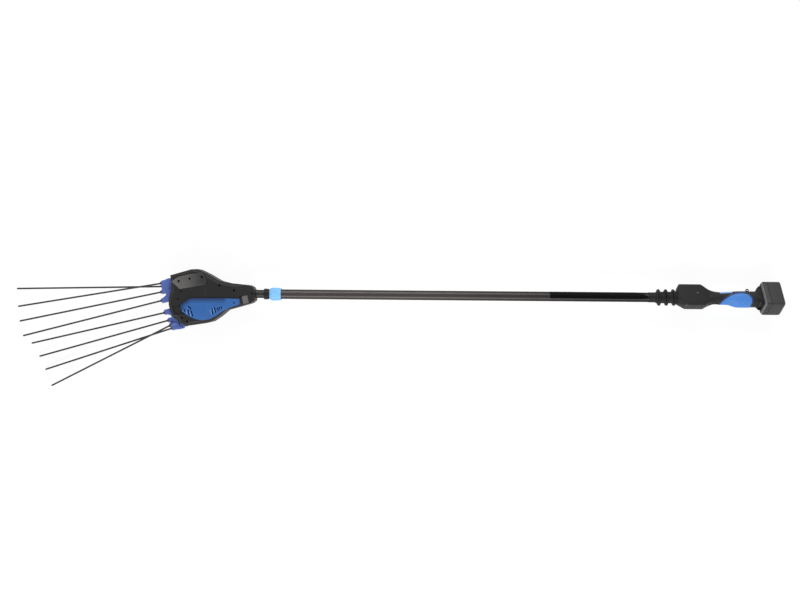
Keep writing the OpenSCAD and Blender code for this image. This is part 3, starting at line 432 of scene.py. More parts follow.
class Finishes:
    """Every finish on the tool."""

    SHELL = Finish("shell_black_grain", "shell_black", (27, 26, 27), 0.52, specular=0.22)
    # Near-black, darker than the shell: on the battery dock it is painted shade for the dock's
    # recess and slots; the button's bezel gets it too.
    DOCK_SHADE_BLACK = Finish("dock_shade_black", "shell_black", (11, 11, 12), 0.6, specular=0.2)
    # The pad ramps from its grey to near-black along X: painted shade across the pad.
    PAD = Finish(
        "pad_grey_grain", "shell_black", (98, 95, 94), 0.52, size=420.0, depth=0.0004,
        mottle=0.16, specular=0.4, darker_along_x=(-0.645, -0.57, (22, 21, 22)),
    )
    PATCH = Finish(
        "patch_grey_grain", "shell_black", (88, 85, 84), 0.52, size=420.0, depth=0.0004,
        mottle=0.16,
    )
    # The cover's dark second tone is painted shade along its upper edge; its raised edge colour is
    # abrasion and also painted highlights on the bevels and vent lips.
    COVER = Finish(
        "cover_blue_satin", "cover_blue", (48, 98, 164), 0.48, size=1300.0, strength=0.15,
        specular=0.28, rubbed_and_lit=(116, 156, 218), wear_and_light=0.6, scuff=0.05, two_tone_and_shade=(14, 30, 70),
    )
    COMB = Finish(
        "comb_blue_nylon", "comb_blue", (80, 102, 172), 0.42, size=1300.0, strength=0.12,
        specular=0.4, rubbed_and_lit=(128, 146, 220), wear_and_light=0.25, scuff=0.05,
    )
    # Navy of the ferrules at the tine roots; the caps are drawn wide enough that this dark also
    # paints the shade on the front of the comb.
    ROOT = Finish("root_navy", "comb_blue", (24, 28, 52), 0.45, strength=0.15)
    COLLAR = Finish(
        "collar_blue_moulded", "collar_blue", (124, 190, 242), 0.4, strength=0.12,
        rubbed_and_lit=(170, 212, 250), wear_and_light=0.2, scuff=0.05, two_tone_and_shade=(12, 12, 13),
    )
    LEVER = Finish(
        "lever_blue_moulded", "lever_blue", (128, 176, 232), 0.42, strength=0.15,
        rubbed_and_lit=(190, 215, 242),
    )
    GRIP = Finish(
        "grip_soft_blue", "soft_blue", (66, 130, 211), 0.6, Surface.SOFT, 650.0, 0.0002,
        strength=0.2, rubbed_and_lit=(128, 172, 242), wear_and_light=0.25, scuff=0.06,
    )
    # Navy of the rim round the soft pad, the overmould's edge, which also paints the shade of the
    # gap round the pad.
    RIM = Finish("grip_rim_navy", "soft_blue", (26, 48, 92), 0.58, Surface.SOFT, 800.0, 0.0001)
    BOOT = Finish(
        "boot_rubber", "soft_black", (16, 16, 17), 0.58, Surface.SOFT, 800.0, 0.0002,
        rubbed_and_lit=(80, 79, 78), specular=0.22,
    )
    POLE = Finish(
        "pole_drawn_grey", "pole_metal", (68, 65, 64), 0.34, Surface.DRAWN, 900.0, 0.00004,
        strength=0.1, metallic=0.7, rubbed_and_lit=(150, 148, 146), mottle=0.02, wear_and_light=0.1, scuff=0.04,
        specular=0.4, edge_tint=0.3, darker_along_x=(0.05, 0.66, (42, 40, 40)),
    )
    TUBE = Finish(
        "tube_black_anodised", "pole_metal", (54, 53, 54), 0.36, Surface.DRAWN, 900.0, 0.00004,
        strength=0.1, metallic=0.7, rubbed_and_lit=(110, 109, 108), mottle=0.02, scuff=0.05,
        edge_tint=0.3,
    )
    BAND = Finish(
        "band_black_film", "band_black", (6, 6, 7), 0.5, size=1500.0, depth=0.00005,
        strength=0.1, specular=0.05, rubbed_and_lit=(60, 60, 62), scuff=0.05,
    )
    HANDLE = Finish("handle_black_grain", "shell_black", (30, 29, 30), 0.54, specular=0.2)
    BATTERY = Finish(
        "battery_black_grain", "battery_black", (48, 47, 48), 0.5, size=700.0, depth=0.0002,
        specular=0.32,
    )
    # Pale grey that paints the highlight along the case's bevel that faces the grip.
    BEVEL_HIGHLIGHT = Finish(
        "battery_bevel_highlight_grey", "battery_black", (118, 117, 117), 0.42, size=700.0, depth=0.0001
    )
    TINE = Finish(
        "tine_fibre", "tine_rod", (28, 27, 27), 0.42, Surface.WOVEN, 320.0, 0.00008, coat=0.08,
        mottle=0.1, specular=0.35,
    )
    STEEL = Finish(
        "ground_steel", "steel", (176, 177, 181), 0.3, Surface.TURNED, 1800.0, 0.00004,
        metallic=1.0,
    )
    DARK_STEEL = Finish(
        "blackened_steel", "dark_steel", (58, 58, 61), 0.4, Surface.TURNED, 1500.0, 0.00006,
        metallic=0.9,
    )
    NYLON = Finish(
        "natural_nylon", "nylon", (214, 210, 196), 0.48, size=1100.0, rubbed_and_lit=(190, 180, 160)
    )
    BRONZE = Finish("sintered_bronze", "bronze", (186, 138, 66), 0.42, size=1600.0, metallic=1.0)
    COPPER = Finish(
        "wound_copper", "copper", (190, 106, 52), 0.32, Surface.WOVEN, 900.0, 0.0002, metallic=0.9
    )
    BOARD = Finish("solder_mask", "board_green", (44, 110, 62), 0.36, size=700.0, coat=0.2)
    CELL = Finish(
        "cell_wrap_sleeve", "cell_wrap", (58, 142, 92), 0.28, size=300.0, depth=0.00006, coat=0.3
    )
    ALLOY = Finish(
        "machined_alloy", "alloy", (168, 169, 172), 0.34, Surface.TURNED, 1300.0, 0.00006,
        metallic=1.0,
    )
    CONTACT = Finish(
        "plated_contact", "contact", (206, 166, 84), 0.26, Surface.TURNED, 1600.0, 0.00004,
        metallic=1.0,
    )
    LEAD = Finish("lead_sheath", "lead_black", (28, 28, 29), 0.55, Surface.SOFT, 900.0, 0.0001)
    BUTTON = Finish(
        "button_dark_cap", "button_grey", (34, 34, 35), 0.5, size=1100.0, rubbed_and_lit=(110, 110, 112),
        wear_and_light=0.1,
    )


CARRIED_OVER: tuple[tuple[Finish, tuple[str, ...]], ...] = (
    (Finishes.POLE, ("pole",)),
    (Finishes.TUBE, ("inner_tube",)),
    (Finishes.TINE, ("upper_tines", "lower_tines")),
    (Finishes.SHELL, ("tube_plugs", "collar_bush", "micro_switch")),
    (Finishes.STEEL, (
        "ball_bearings", "pivot_shafts", "crank_shaft", "eccentric", "motor_shaft", "pinion",
        "conrod_bearing", "wrist_pin", "motor_stator", "motor_rotor",
    )),
    (Finishes.DARK_STEEL, ("shell_screws", "handle_screws", "motor_can", "lever_pin")),
    (Finishes.NYLON, (
        "drive_gear", "upper_sector", "lower_sector", "lock_collet", "cell_holders",
    )),
    (Finishes.BRONZE, ("upper_bushes", "lower_bushes")),
    (Finishes.COPPER, ("motor_windings",)),
    (Finishes.BOARD, ("control_board", "battery_board")),
    (Finishes.CELL, ("battery_cells",)),
    (Finishes.ALLOY, ("motor_end_plate", "conrod")),
    (Finishes.CONTACT, ("dock_terminals",)),
    (Finishes.LEAD, ("head_cable", "coiled_cable")),
)


# Shaping


def started() -> Mesh:
    """Starts a mesh.

    Returns:
        An empty mesh with a face layer for abraded edges, which are also painted with highlights.
    """
    bm = bmesh.new()
    bm.faces.layers.float.new("worn_and_lit")
    return bm


def joined(*parts: Mesh) -> Mesh:
    """Puts several meshes into one, as islands.

    Args:
        parts: The meshes, which are used up.

    Returns:
        The whole.
    """
    whole = started()
    for part in parts:
        shelf = bpy.data.meshes.new("shelf")
        part.to_mesh(shelf)
        part.free()
        whole.from_mesh(shelf)
        bpy.data.meshes.remove(shelf)
    return whole


def turned(bm: Mesh, matrix: Matrix) -> Mesh:
    """Moves a whole mesh and returns it."""
    bmesh.ops.transform(bm, matrix=matrix, verts=bm.verts)
    return bm


def outward(bm: Mesh) -> Mesh:
    """Merges doubles and points every face outwards.

    Args:
        bm: The mesh.

    Returns:
        The same mesh.
    """
    bmesh.ops.remove_doubles(bm, verts=bm.verts, dist=TOUCH)
    bmesh.ops.recalc_face_normals(bm, faces=bm.faces)
    return bm


def rubbed_and_lit(bm: Mesh, faces: Iterable[bmesh.types.BMFace], amount: float = 1.0) -> Mesh:
    """Marks faces of a mesh as abraded and painted light, as a highlight.

    Args:
        bm: The mesh.
        faces: The faces.
        amount: How much they are abraded and painted light.

    Returns:
        The same mesh.
    """
    layer = bm.faces.layers.float.get("worn_and_lit") or bm.faces.layers.float.new("worn_and_lit")
    for face in faces:
        face[layer] = amount
    return bm


def two_toned_and_shaded(bm: Mesh, amount: Callable[[Vector], float]) -> Mesh:
    """Gives every face of a mesh its share of the finish's dark second colour, which is a real
    dark seal on the collar and painted shade on the cover.

    Args:
        bm: The mesh.
        amount: The share, 0 to 1, at the middle of a face.

    Returns:
        The same mesh.
    """
    layer = bm.faces.layers.float.new("two_tone_and_shade")
    for face in bm.faces:
        face[layer] = amount(face.calc_center_median())
    return bm


def rounded(
    bm: Mesh, geom: Sequence, width: float, segments: int, affect: str = "EDGES"
) -> list[bmesh.types.BMFace]:
    """Bevels edges or corners round.

    Args:
        bm: The mesh.
        geom: The edges or corners.
        width: How far the rounding reaches.
        segments: Faces across the rounding.
        affect: EDGES or VERTICES.

    Returns:
        The new faces.
    """
    return bmesh.ops.bevel(
        bm, geom=geom, offset=width, segments=segments, profile=0.5, affect=affect, material=-1,
        clamp_overlap=True,
    )["faces"]


def softened(
    bm: Mesh, width: float, segments: int = 2, angle: float = 24.0, rub_and_light: float = 1.0
) -> Mesh:
    """Rounds the sharp edges of a mesh and marks the new faces as abraded and painted light, as a
    highlight.

    Args:
        bm: The mesh.
        width: How far the rounding reaches from an edge.
        segments: Faces across the rounding.
        angle: The least angle, in degrees, of an edge that is rounded.
        rub_and_light: How much the rounding is abraded and painted light.

    Returns:
        The same mesh.
    """
    limit = math.radians(angle)
    edges = [e for e in bm.edges if len(e.link_faces) == 2 and e.calc_face_angle() > limit]
    return rubbed_and_lit(bm, rounded(bm, edges, width, segments), rub_and_light)


def sliced(
    bm: Mesh, point: Sequence[float], normal: Sequence[float], geom: Optional[list] = None,
    clear: bool = False,
) -> list[bmesh.types.BMEdge]:
    """Cuts a mesh along a plane.

    Args:
        bm: The mesh.
        point: A point on the plane.
        normal: The way that the plane faces.
        geom: What is cut, or None for all of it.
        clear: True to take away what lies outside.

    Returns:
        The edges of the cut.
    """
    cut = bmesh.ops.bisect_plane(
        bm, geom=geom or bm.verts[:] + bm.edges[:] + bm.faces[:], plane_co=point,
        plane_no=normal, clear_outer=clear,
    )
    return [g for g in cut["geom_cut"] if isinstance(g, bmesh.types.BMEdge)]


def widened(points: Sequence[Point2], grow: float) -> list[Point2]:
    """Moves every side of an outline outwards.

    Args:
        points: The outline.
        grow: The distance.

    Returns:
        The new outline.
    """
    ring = [Vector(p) for p in points]
    area = sum(a.x * b.y - b.x * a.y for a, b in zip(ring, ring[1:] + ring[:1]))
    side = grow if area > 0.0 else -grow
    made = []
    for before, here, after in zip(ring[-1:] + ring[:-1], ring, ring[1:] + ring[:1]):
        first, second = (here - before).normalized(), (after - here).normalized()
        out = Vector((first.y + second.y, -first.x - second.x)).normalized()
        reach = max(out.dot(Vector((first.y, -first.x))), 0.4)
        made.append(tuple(here + out * (side / reach)))
    return made


def outlined(points: Iterable[Point2], level: float) -> Mesh:
    """Starts a mesh of one flat face.

    Args:
        points: Its outline.
        level: Its height.

    Returns:
        The mesh.
    """
    bm = started()
    bm.faces.new([bm.verts.new((x, y, level)) for x, y in points])
    return bm


def drawn_up(bm: Mesh, rise: float) -> list[bmesh.types.BMFace]:
    """Draws the faces of a flat mesh up into a prism.

    Args:
        bm: The mesh.
        rise: The height of the prism.

    Returns:
        The faces of its roof.
    """
    grown = bmesh.ops.extrude_face_region(bm, geom=bm.faces[:], use_keep_orig=True)["geom"]
    tops = [g for g in grown if isinstance(g, bmesh.types.BMVert)]
    bmesh.ops.translate(bm, verts=tops, vec=(0.0, 0.0, rise))
    return [g for g in grown if isinstance(g, bmesh.types.BMFace)]


def plate(points: Iterable[Point2], low: float, high: float) -> Mesh:
    """Draws a flat outline up into a closed prism.

    Args:
        points: The outline.
        low: The level of its floor.
        high: The level of its roof.

    Returns:
        The mesh.
    """
    bm = outlined(points, low)
    drawn_up(bm, high - low)
    return outward(bm)


def block(
    low: Sequence[float], high: Sequence[float], soft: float = 0.0, segments: int = 2
) -> Mesh:
    """A box between two corners.

    Args:
        low: The lowest corner.
        high: The highest corner.
        soft: How far its edges are rounded, or 0 for sharp ones.
        segments: Faces across the rounding.

    Returns:
        The mesh.
    """
    bm = started()
    bmesh.ops.create_cube(bm, size=1.0)
    sizes = [b - a for a, b in zip(low, high)]
    centre = [(a + b) / 2.0 for a, b in zip(low, high)]
    turned(bm, shift(*centre) @ Matrix.Diagonal((*sizes, 1.0)))
    return softened(bm, soft, segments) if soft else bm


def lathe(profile: Sequence[Point2], steps: int = 48, closed: bool = True) -> Mesh:
    """Spins a profile of (radius, height) about Z.

    Args:
        profile: The outline, in order.
        steps: Faces round the axis.
        closed: True if the last point joins the first, as on a ring.

    Returns:
        The spun mesh.
    """
    bm = started()
    verts = [bm.verts.new((r, 0.0, h)) for r, h in profile]
    ends = verts[1:] + verts[:1] if closed else verts[1:]
    edges = [bm.edges.new(pair) for pair in zip(verts, ends)]
    bmesh.ops.spin(
        bm, geom=verts + edges, cent=ORIGIN, axis=UP, angle=2.0 * math.pi, steps=steps,
        use_merge=True,
    )
    return outward(bm)


def about(radius: float, profile: Sequence[Point2]) -> list[Point2]:
    """A profile that is written as (distance from a radius, height)."""
    return [(radius + out, height) for out, height in profile]


def rod(at: Point2, low: float, high: float, radius: float, steps: int = 32) -> Mesh:
    """A closed round bar along Z, for cutting.

    Args:
        at: Where it stands.
        low: Its lower end.
        high: Its upper end.
        radius: Its radius.
        steps: Faces round it.

    Returns:
        The mesh.
    """
    bm = started()
    bmesh.ops.create_cone(
        bm, cap_ends=True, segments=steps, radius1=radius, radius2=radius, depth=high - low,
        matrix=shift(*at, (low + high) / 2.0),
    )
    return bm


def along_x(bm: Mesh, start: float = 0.0) -> Mesh:
    """Lays a mesh that stands on Z along X, from start."""
    lay = Matrix(((0.0, 0.0, 1.0), (1.0, 0.0, 0.0), (0.0, 1.0, 0.0))).to_4x4()
    return turned(bm, shift(start) @ lay)


def shelved(bm: Mesh, name: str) -> bpy.types.Object:
    """Makes a passing object that a modifier can work on.

    Args:
        bm: Its mesh, which is used up.
        name: Its name.

    Returns:
        The object.
    """
    mesh = bpy.data.meshes.new(name)
    bm.to_mesh(mesh)
    bm.free()
    thing = bpy.data.objects.new(name, mesh)
    bpy.context.scene.collection.objects.link(thing)
    return thing


def settled(thing: bpy.types.Object, *others: bpy.types.Object) -> Mesh:
    """Takes the mesh that a passing object's modifiers give.

    Args:
        thing: The object, which is cleared away.
        others: Objects that its modifiers used, which are cleared away too.

    Returns:
        The mesh.
    """
    bpy.context.view_layer.update()
    seen = thing.evaluated_get(bpy.context.evaluated_depsgraph_get())
    result = bpy.data.meshes.new_from_object(seen)
    bm = bmesh.new()
    bm.from_mesh(result)
    bpy.data.meshes.remove(result)
    for old in (thing, *others):
        mesh = old.data
        bpy.data.objects.remove(old)
        bpy.data.meshes.remove(mesh)
    return bm


def carved(bm: Mesh, *tools: Mesh, operation: str = "DIFFERENCE") -> Mesh:
    """Cuts one mesh with others, or keeps what they share.

    Args:
        bm: The mesh that is cut, which is used up.
        tools: The cutters, which are used up.
        operation: DIFFERENCE or INTERSECT.

    Returns:
        What is left.
    """
    body, cutter = shelved(bm, "carved_body"), shelved(joined(*tools), "carving_tool")
    carve = body.modifiers.new("carve", "BOOLEAN")
    carve.operation = operation
    carve.solver = "EXACT"
    carve.use_self = True
    carve.object = cutter
    return settled(body, cutter)


def walled(bm: Mesh, wall: float) -> Mesh:
    """Gives an open skin a wall on its inner side.

    Args:
        bm: The skin, which is used up.
        wall: The wall's thickness.

    Returns:
        The closed mesh.
    """
    body = shelved(bm, "skin")
    wall_maker = body.modifiers.new("wall", "SOLIDIFY")
    wall_maker.thickness = wall
    wall_maker.offset = -1.0
    wall_maker.use_even_offset = True
    return settled(body)


def ringed(rows: Iterable[Sequence[float]], corner_steps: int = 16) -> Mesh:
    """Skins a row of rounded rectangles strung along X.

    Args:
        rows: For each one its place, half width, half height and corner radius, and then, as far
            as they are given, its shift in Y and Z, its twist about X in degrees, and how far it
            leans along X for each millimetre up the picture.
        corner_steps: Points round each corner.

    Returns:
        A closed mesh.
    """
    bm = started()
    loops = []
    roll = math.radians(GRIP_ROLL)
    up = Vector((0.0, math.cos(roll), math.sin(roll)))
    for x, half_y, half_z, corner, *rest in rows:
        shift_y, shift_z, twist, lean = (*rest, *[0.0] * (4 - len(rest)))
        ring = bmesh.ops.create_circle(
            bm, cap_ends=False, segments=4 * corner_steps, radius=1.0
        )["verts"]
        for k, vert in enumerate(ring):
            quarter, step = divmod(k, corner_steps)
            turn = math.radians(90.0 * quarter + 90.0 * step / (corner_steps - 1))
            side_y = 1.0 if quarter in (0, 3) else -1.0
            side_z = 1.0 if quarter < 2 else -1.0
            at = spin(twist, "X") @ Vector((
                0.0,
                side_y * (half_y - corner) + corner * math.cos(turn),
                side_z * (half_z - corner) + corner * math.sin(turn),
            )) + Vector((0.0, shift_y, shift_z))
            vert.co = at + Vector((x + lean * at.dot(up), 0.0, 0.0))
        loops.append(list(dict.fromkeys(e for v in ring for e in v.link_edges)))
    for first, second in zip(loops, loops[1:]):
        bmesh.ops.bridge_loops(bm, edges=first + second)
    for end in (loops[0], loops[-1]):
        bmesh.ops.holes_fill(bm, edges=end, sides=0)
    return outward(bm)


class Workshop:
    """Puts shaped meshes onto the frame as finished pieces."""

    def __init__(self) -> None:
        """Starts with no effects built."""
        self.effects = Effects()

    def place(
        self, name: str, bm: Mesh, finish: Finish, body: str, where: Place,
        stands_for: Sequence[str] = (), smooth: float = 32.0,
    ) -> bpy.types.Object:
        """Makes a piece of a mesh.

        Args:
            name: The piece's name.
            bm: Its mesh, which is used up.
            finish: Its material.
            body: The body that it rides on.
            where: The frame that it was shaped in.
            stands_for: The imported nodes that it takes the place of.
            smooth: Edges sharper than this, in degrees, stay hard.

        Returns:
            The piece.
        """
        turned(bm, where.matrix)
        if where.matrix.determinant() < 0.0:
            bmesh.ops.reverse_faces(bm, faces=bm.faces)
        mesh = bpy.data.meshes.new(name)
        bm.to_mesh(mesh)
        bm.free()
        mesh.polygons.foreach_set("use_smooth", [True] * len(mesh.polygons))
        mesh.set_sharp_from_angle(angle=math.radians(smooth))
        mesh.materials.append(finish.material(self.effects))
        piece = bpy.data.objects.new(name, mesh)
        bpy.context.scene.collection.objects.link(piece)
        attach(piece, body)
        if stands_for:
            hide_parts(*stands_for)
        LOG.info("%s: %d faces on %s", name, len(mesh.polygons), body)
        return piece

    def carry_over(self) -> None:
        """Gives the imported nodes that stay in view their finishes."""
        for finish, nodes in CARRIED_OVER:
            for node in nodes:
                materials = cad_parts[node].data.materials
                materials.clear()
                materials.append(finish.material(self.effects))


# Sub-assemblies


@dataclass
class HeadShells:
    """The two black half shells of the head with their pads and screw wells."""

    outline: Sequence[Point2] = (
        (133.4, -17.7), (137.2, -1.5), (138.0, 20.9), (132.6, 39.2), (114.0, 62.3), (103.5, 71.5),
        (54.0, 76.0), (30.0, 76.0), (6.0, 67.2), (-20.0, 54.0), (-86.0, 51.5), (-95.0, 50.5),
        (-105.0, 46.0), (-111.8, 17.5), (-109.0, 6.5), (-99.9, -1.0), (-44.0, -21.0),
        (-20.0, -34.0), (8.0, -61.0), (30.9, -80.0), (50.0, -84.0), (113.2, -81.5),
        (114.6, -66.0), (121.6, -34.6),
    )
    height: float = 42.0
    above: float = 12.0
    chamfer: float = 8.0
    edge: float = 1.8
    edge_angle: float = 14.0
    wall: float = 3.5
    groove: float = 0.8
    slot_start: float = 88.0
    slot_half: float = 15.6
    neck_start: float = -65.5
    neck_drop: float = 16.0
    neck_run: float = 45.5
    tube_radius: float = 12.05
    tube_start: float = -70.0
    tube_length: float = 200.0
    tube_turn: float = -14.1
    screws: Sequence[Point2] = (
        (91.0, -58.8), (58.8, -58.0), (23.8, -54.2), (-18.9, -19.0), (-56.6, 4.5), (95.2, 60.0),
        (-87.7, 44.1), (-89.9, 2.5),
    )
    screw_seat: float = 24.0
    rear_seat: float = 4.0
    wells: int = 6
    pad_wells: int = 3
    well_radius: float = 3.3
    boss_radius: float = 5.0
    pivots: Sequence[Point2] = ((104.0, 40.0), (104.0, -40.0))
    pivot_boss: Point2 = (6.1, 10.0)
    dimples: Sequence[Point2] = (
        (92.1, -28.6), (106.1, -9.3), (106.8, 46.5), (-103.5, 25.6), (-69.7, 27.0),
    )
    dimple_radius: float = 3.1
    dimple_depth: float = 3.0
    pad: Sequence[Point2] = (
        (111.5, -62.5), (94.5, -36.0), (58.8, -33.6), (20.0, -31.5), (12.5, -47.0),
        (22.0, -66.0), (54.0, -70.5), (90.0, -70.5),
    )
    pad_span: Point2 = (-0.5, 0.7)
    pad_edge: float = 0.8
    pad_rise: float = 4.0
    pad_slope: Point2 = (-34.0, 36.0)
    cheek: Sequence[Point2] = (
        (125.0, 33.5), (105.0, 38.0), (85.0, 48.5), (68.0, 63.5), (62.0, 66.5), (97.0, 61.2),
        (112.0, 49.0),
    )
    cheek_span: Point2 = (-1.0, 0.4)
    cheek_bore: float = 5.0
    cheek_inner: float = 50.0
    cheek_rise: float = 2.4
    cheek_edge: float = 1.3
    # How strongly the cheek's rounded edges are painted light, as the highlight along its ridge.
    cheek_highlight: float = 2.2
    patch_size: Point2 = (16.5, 22.0)
    patch_span: Point2 = (-0.6, 0.7)
    patch_edge: float = 0.5
    patch_at: Point2 = (-81.0, 38.0)
    recess: Sequence[Point2] = (
        (127.0, 8.5), (100.0, 9.5), (100.0, 30.0), (108.0, 35.5), (126.0, 31.0),
    )
    recess_span: Point2 = (-2.8, 10.0)

    @property
    def slope(self) -> float:
        """The slope of the neck's top."""
        return math.atan2(self.neck_drop, self.neck_run)

    def roof_at(self, u: float) -> float:
        """The height of the roof at a place along the head."""
        return self.height - max(0.0, self.neck_start - u) * self.neck_drop / self.neck_run

    def from_roof(self, span: Point2) -> Point2:
        """Two levels that are written as distances from the roof."""
        return self.height + span[0], self.height + span[1]

    def skin(self) -> Mesh:
        """Shapes the outer skin of one half.

        Returns:
            The skin, open at the parting plane and at the combs' slot.
        """
        bm = outlined(self.outline, 0.0)
        roof = drawn_up(bm, self.height - self.chamfer)
        bmesh.ops.inset_region(bm, faces=roof, thickness=self.chamfer, use_even_offset=True)
        tops = list(dict.fromkeys(v for f in roof for v in f.verts))
        bmesh.ops.translate(bm, verts=tops, vec=(0.0, 0.0, self.chamfer))
        under = [f for f in bm.faces if all(abs(v.co.z) < TOUCH for v in f.verts)]
        bmesh.ops.delete(bm, geom=under, context="FACES_ONLY")
        normal = (-math.sin(self.slope), 0.0, math.cos(self.slope))
        rim = sliced(bm, (self.neck_start, 0.0, self.height), normal, clear=True)
        bmesh.ops.holes_fill(bm, edges=rim, sides=0)
        sliced(bm, (self.slot_start, 0.0, 0.0), AHEAD)
        sliced(bm, (0.0, 0.0, self.slot_half), UP)
        middles = [(f, f.calc_center_median()) for f in bm.faces]
        mouth = [f for f, at in middles if at.x > self.slot_start and at.z < self.slot_half]
        bmesh.ops.delete(bm, geom=mouth, context="FACES")
        sliced(bm, (0.0, 0.0, self.groove), UP)
        softened(outward(bm), self.edge, 3, self.edge_angle)
        bm.normal_update()
        for vert in bm.verts:
            if abs(vert.co.z) < TOUCH:
                vert.co -= self.groove * vert.normal
        return bm

    def bores(self, low: float, count: int) -> list[Mesh]:
        """Cutters for the screws' wells.

        Args:
            low: The floor of the wells.
            count: How many of the screws have one.

        Returns:
            The cutters.
        """
        high = 2.0 * self.height
        return [rod(p, low, high, self.well_radius) for p in self.screws[:count]]

    def dimple_tools(self, depth: float) -> list[Mesh]:
        """Cutters for the dimples in the roof.

        Args:
            depth: How deep they go.

        Returns:
            The cutters.
        """
        roofs = [(p, self.roof_at(p[0])) for p in self.dimples]
        return [rod(p, z - depth, z + self.above, self.dimple_radius, 24) for p, z in roofs]

    def half(self, wells: bool) -> Mesh:
        """One half shell with its wall, its bosses and the round seat of the tube.

        Args:
            wells: True for the half that the screws go in from.

        Returns:
            The mesh.
        """
        roof = self.height - self.wall / 2.0
        tube = along_x(rod((0.0, 0.0), -self.tube_length, 0.0, self.tube_radius, 48))
        turned(tube, spin(self.tube_turn, "Z") @ shift(self.tube_start))
        bm = carved(
            walled(self.skin(), self.wall), tube,
            plate(self.recess, *self.from_roof(self.recess_span)),
            *self.bores(self.screw_seat, self.wells if wells else 0),
            *self.dimple_tools(self.dimple_depth),
        )
        seat = self.screw_seat if wells else self.rear_seat
        sleeve = (self.well_radius, self.boss_radius)
        rings = [(p, self.pivot_boss, self.slot_half, 48) for p in self.pivots]
        rings += [(p, sleeve, seat, 24) for p in self.screws if p[0] > self.neck_start]
        bosses = [
            turned(lathe(((a, low), (b, low), (b, roof), (a, roof)), steps), shift(*p))
            for p, (a, b), low, steps in rings
        ]
        return joined(bm, self.raised_cheek(), *bosses)

    def raised_cheek(self) -> Mesh:
        """Shapes the low raised cheek under the cover.

        Returns:
            The cheek, highest along its inner edge.
        """
        bm = plate(self.cheek, *self.from_roof(self.cheek_span))
        for vert in bm.verts:
            if vert.co.z > self.height and vert.co.y < self.cheek_inner:
                vert.co.z += self.cheek_rise
        # The cheek's rounded edges are painted light as a highlight line.
        softened(bm, self.cheek_edge, rub_and_light=self.cheek_highlight)
        holes = self.dimple_tools(self.cheek_bore) + self.bores(0.0, self.wells)
        return carved(bm, *holes)

    def grey_pad(self, wells: bool) -> Mesh:
        """The grained pad by the upper comb, a wedge that is highest along the head's edge.

        Args:
            wells: True for the half that the screws go in from.

        Returns:
            The mesh.
        """
        bm = plate(self.pad, *self.from_roof(self.pad_span))
        start, run = self.pad_slope
        for vert in bm.verts:
            if vert.co.z > self.height:
                vert.co.z += self.pad_rise * max(0.0, start - vert.co.y) / run
        softened(bm, self.pad_edge)
        return carved(bm, *self.bores(0.0, self.pad_wells)) if wells else bm

    def neck_patch(self) -> Mesh:
        """Shapes the small grained patch on the slope of the neck.

        Returns:
            The mesh.
        """
        u, v = (size / 2.0 for size in self.patch_size)
        low, high = self.patch_span
        bm = block((-u, -v, low), (u, v, high), self.patch_edge)
        at = shift(*self.patch_at, self.roof_at(self.patch_at[0]))
        return turned(bm, at @ Matrix.Rotation(-self.slope, 4, "Y"))

    def build(self, shop: Workshop) -> None:
        """Builds and dresses both halves.

        Args:
            shop: Where the pieces are finished.
        """
        for side, where, wells in (("front", Place.HEAD, True), ("rear", Place.HEAD_REAR, False)):
            for name, bm, finish, nodes in (
                ("head_shell", self.half(wells), Finishes.SHELL, (f"{side}_shell",)),
                ("head_pad", self.grey_pad(wells), Finishes.PAD, ()),
                ("neck_patch", self.neck_patch(), Finishes.PATCH, ()),
            ):
                shop.place(f"{name}_{side}", bm, finish, "head", where, nodes)


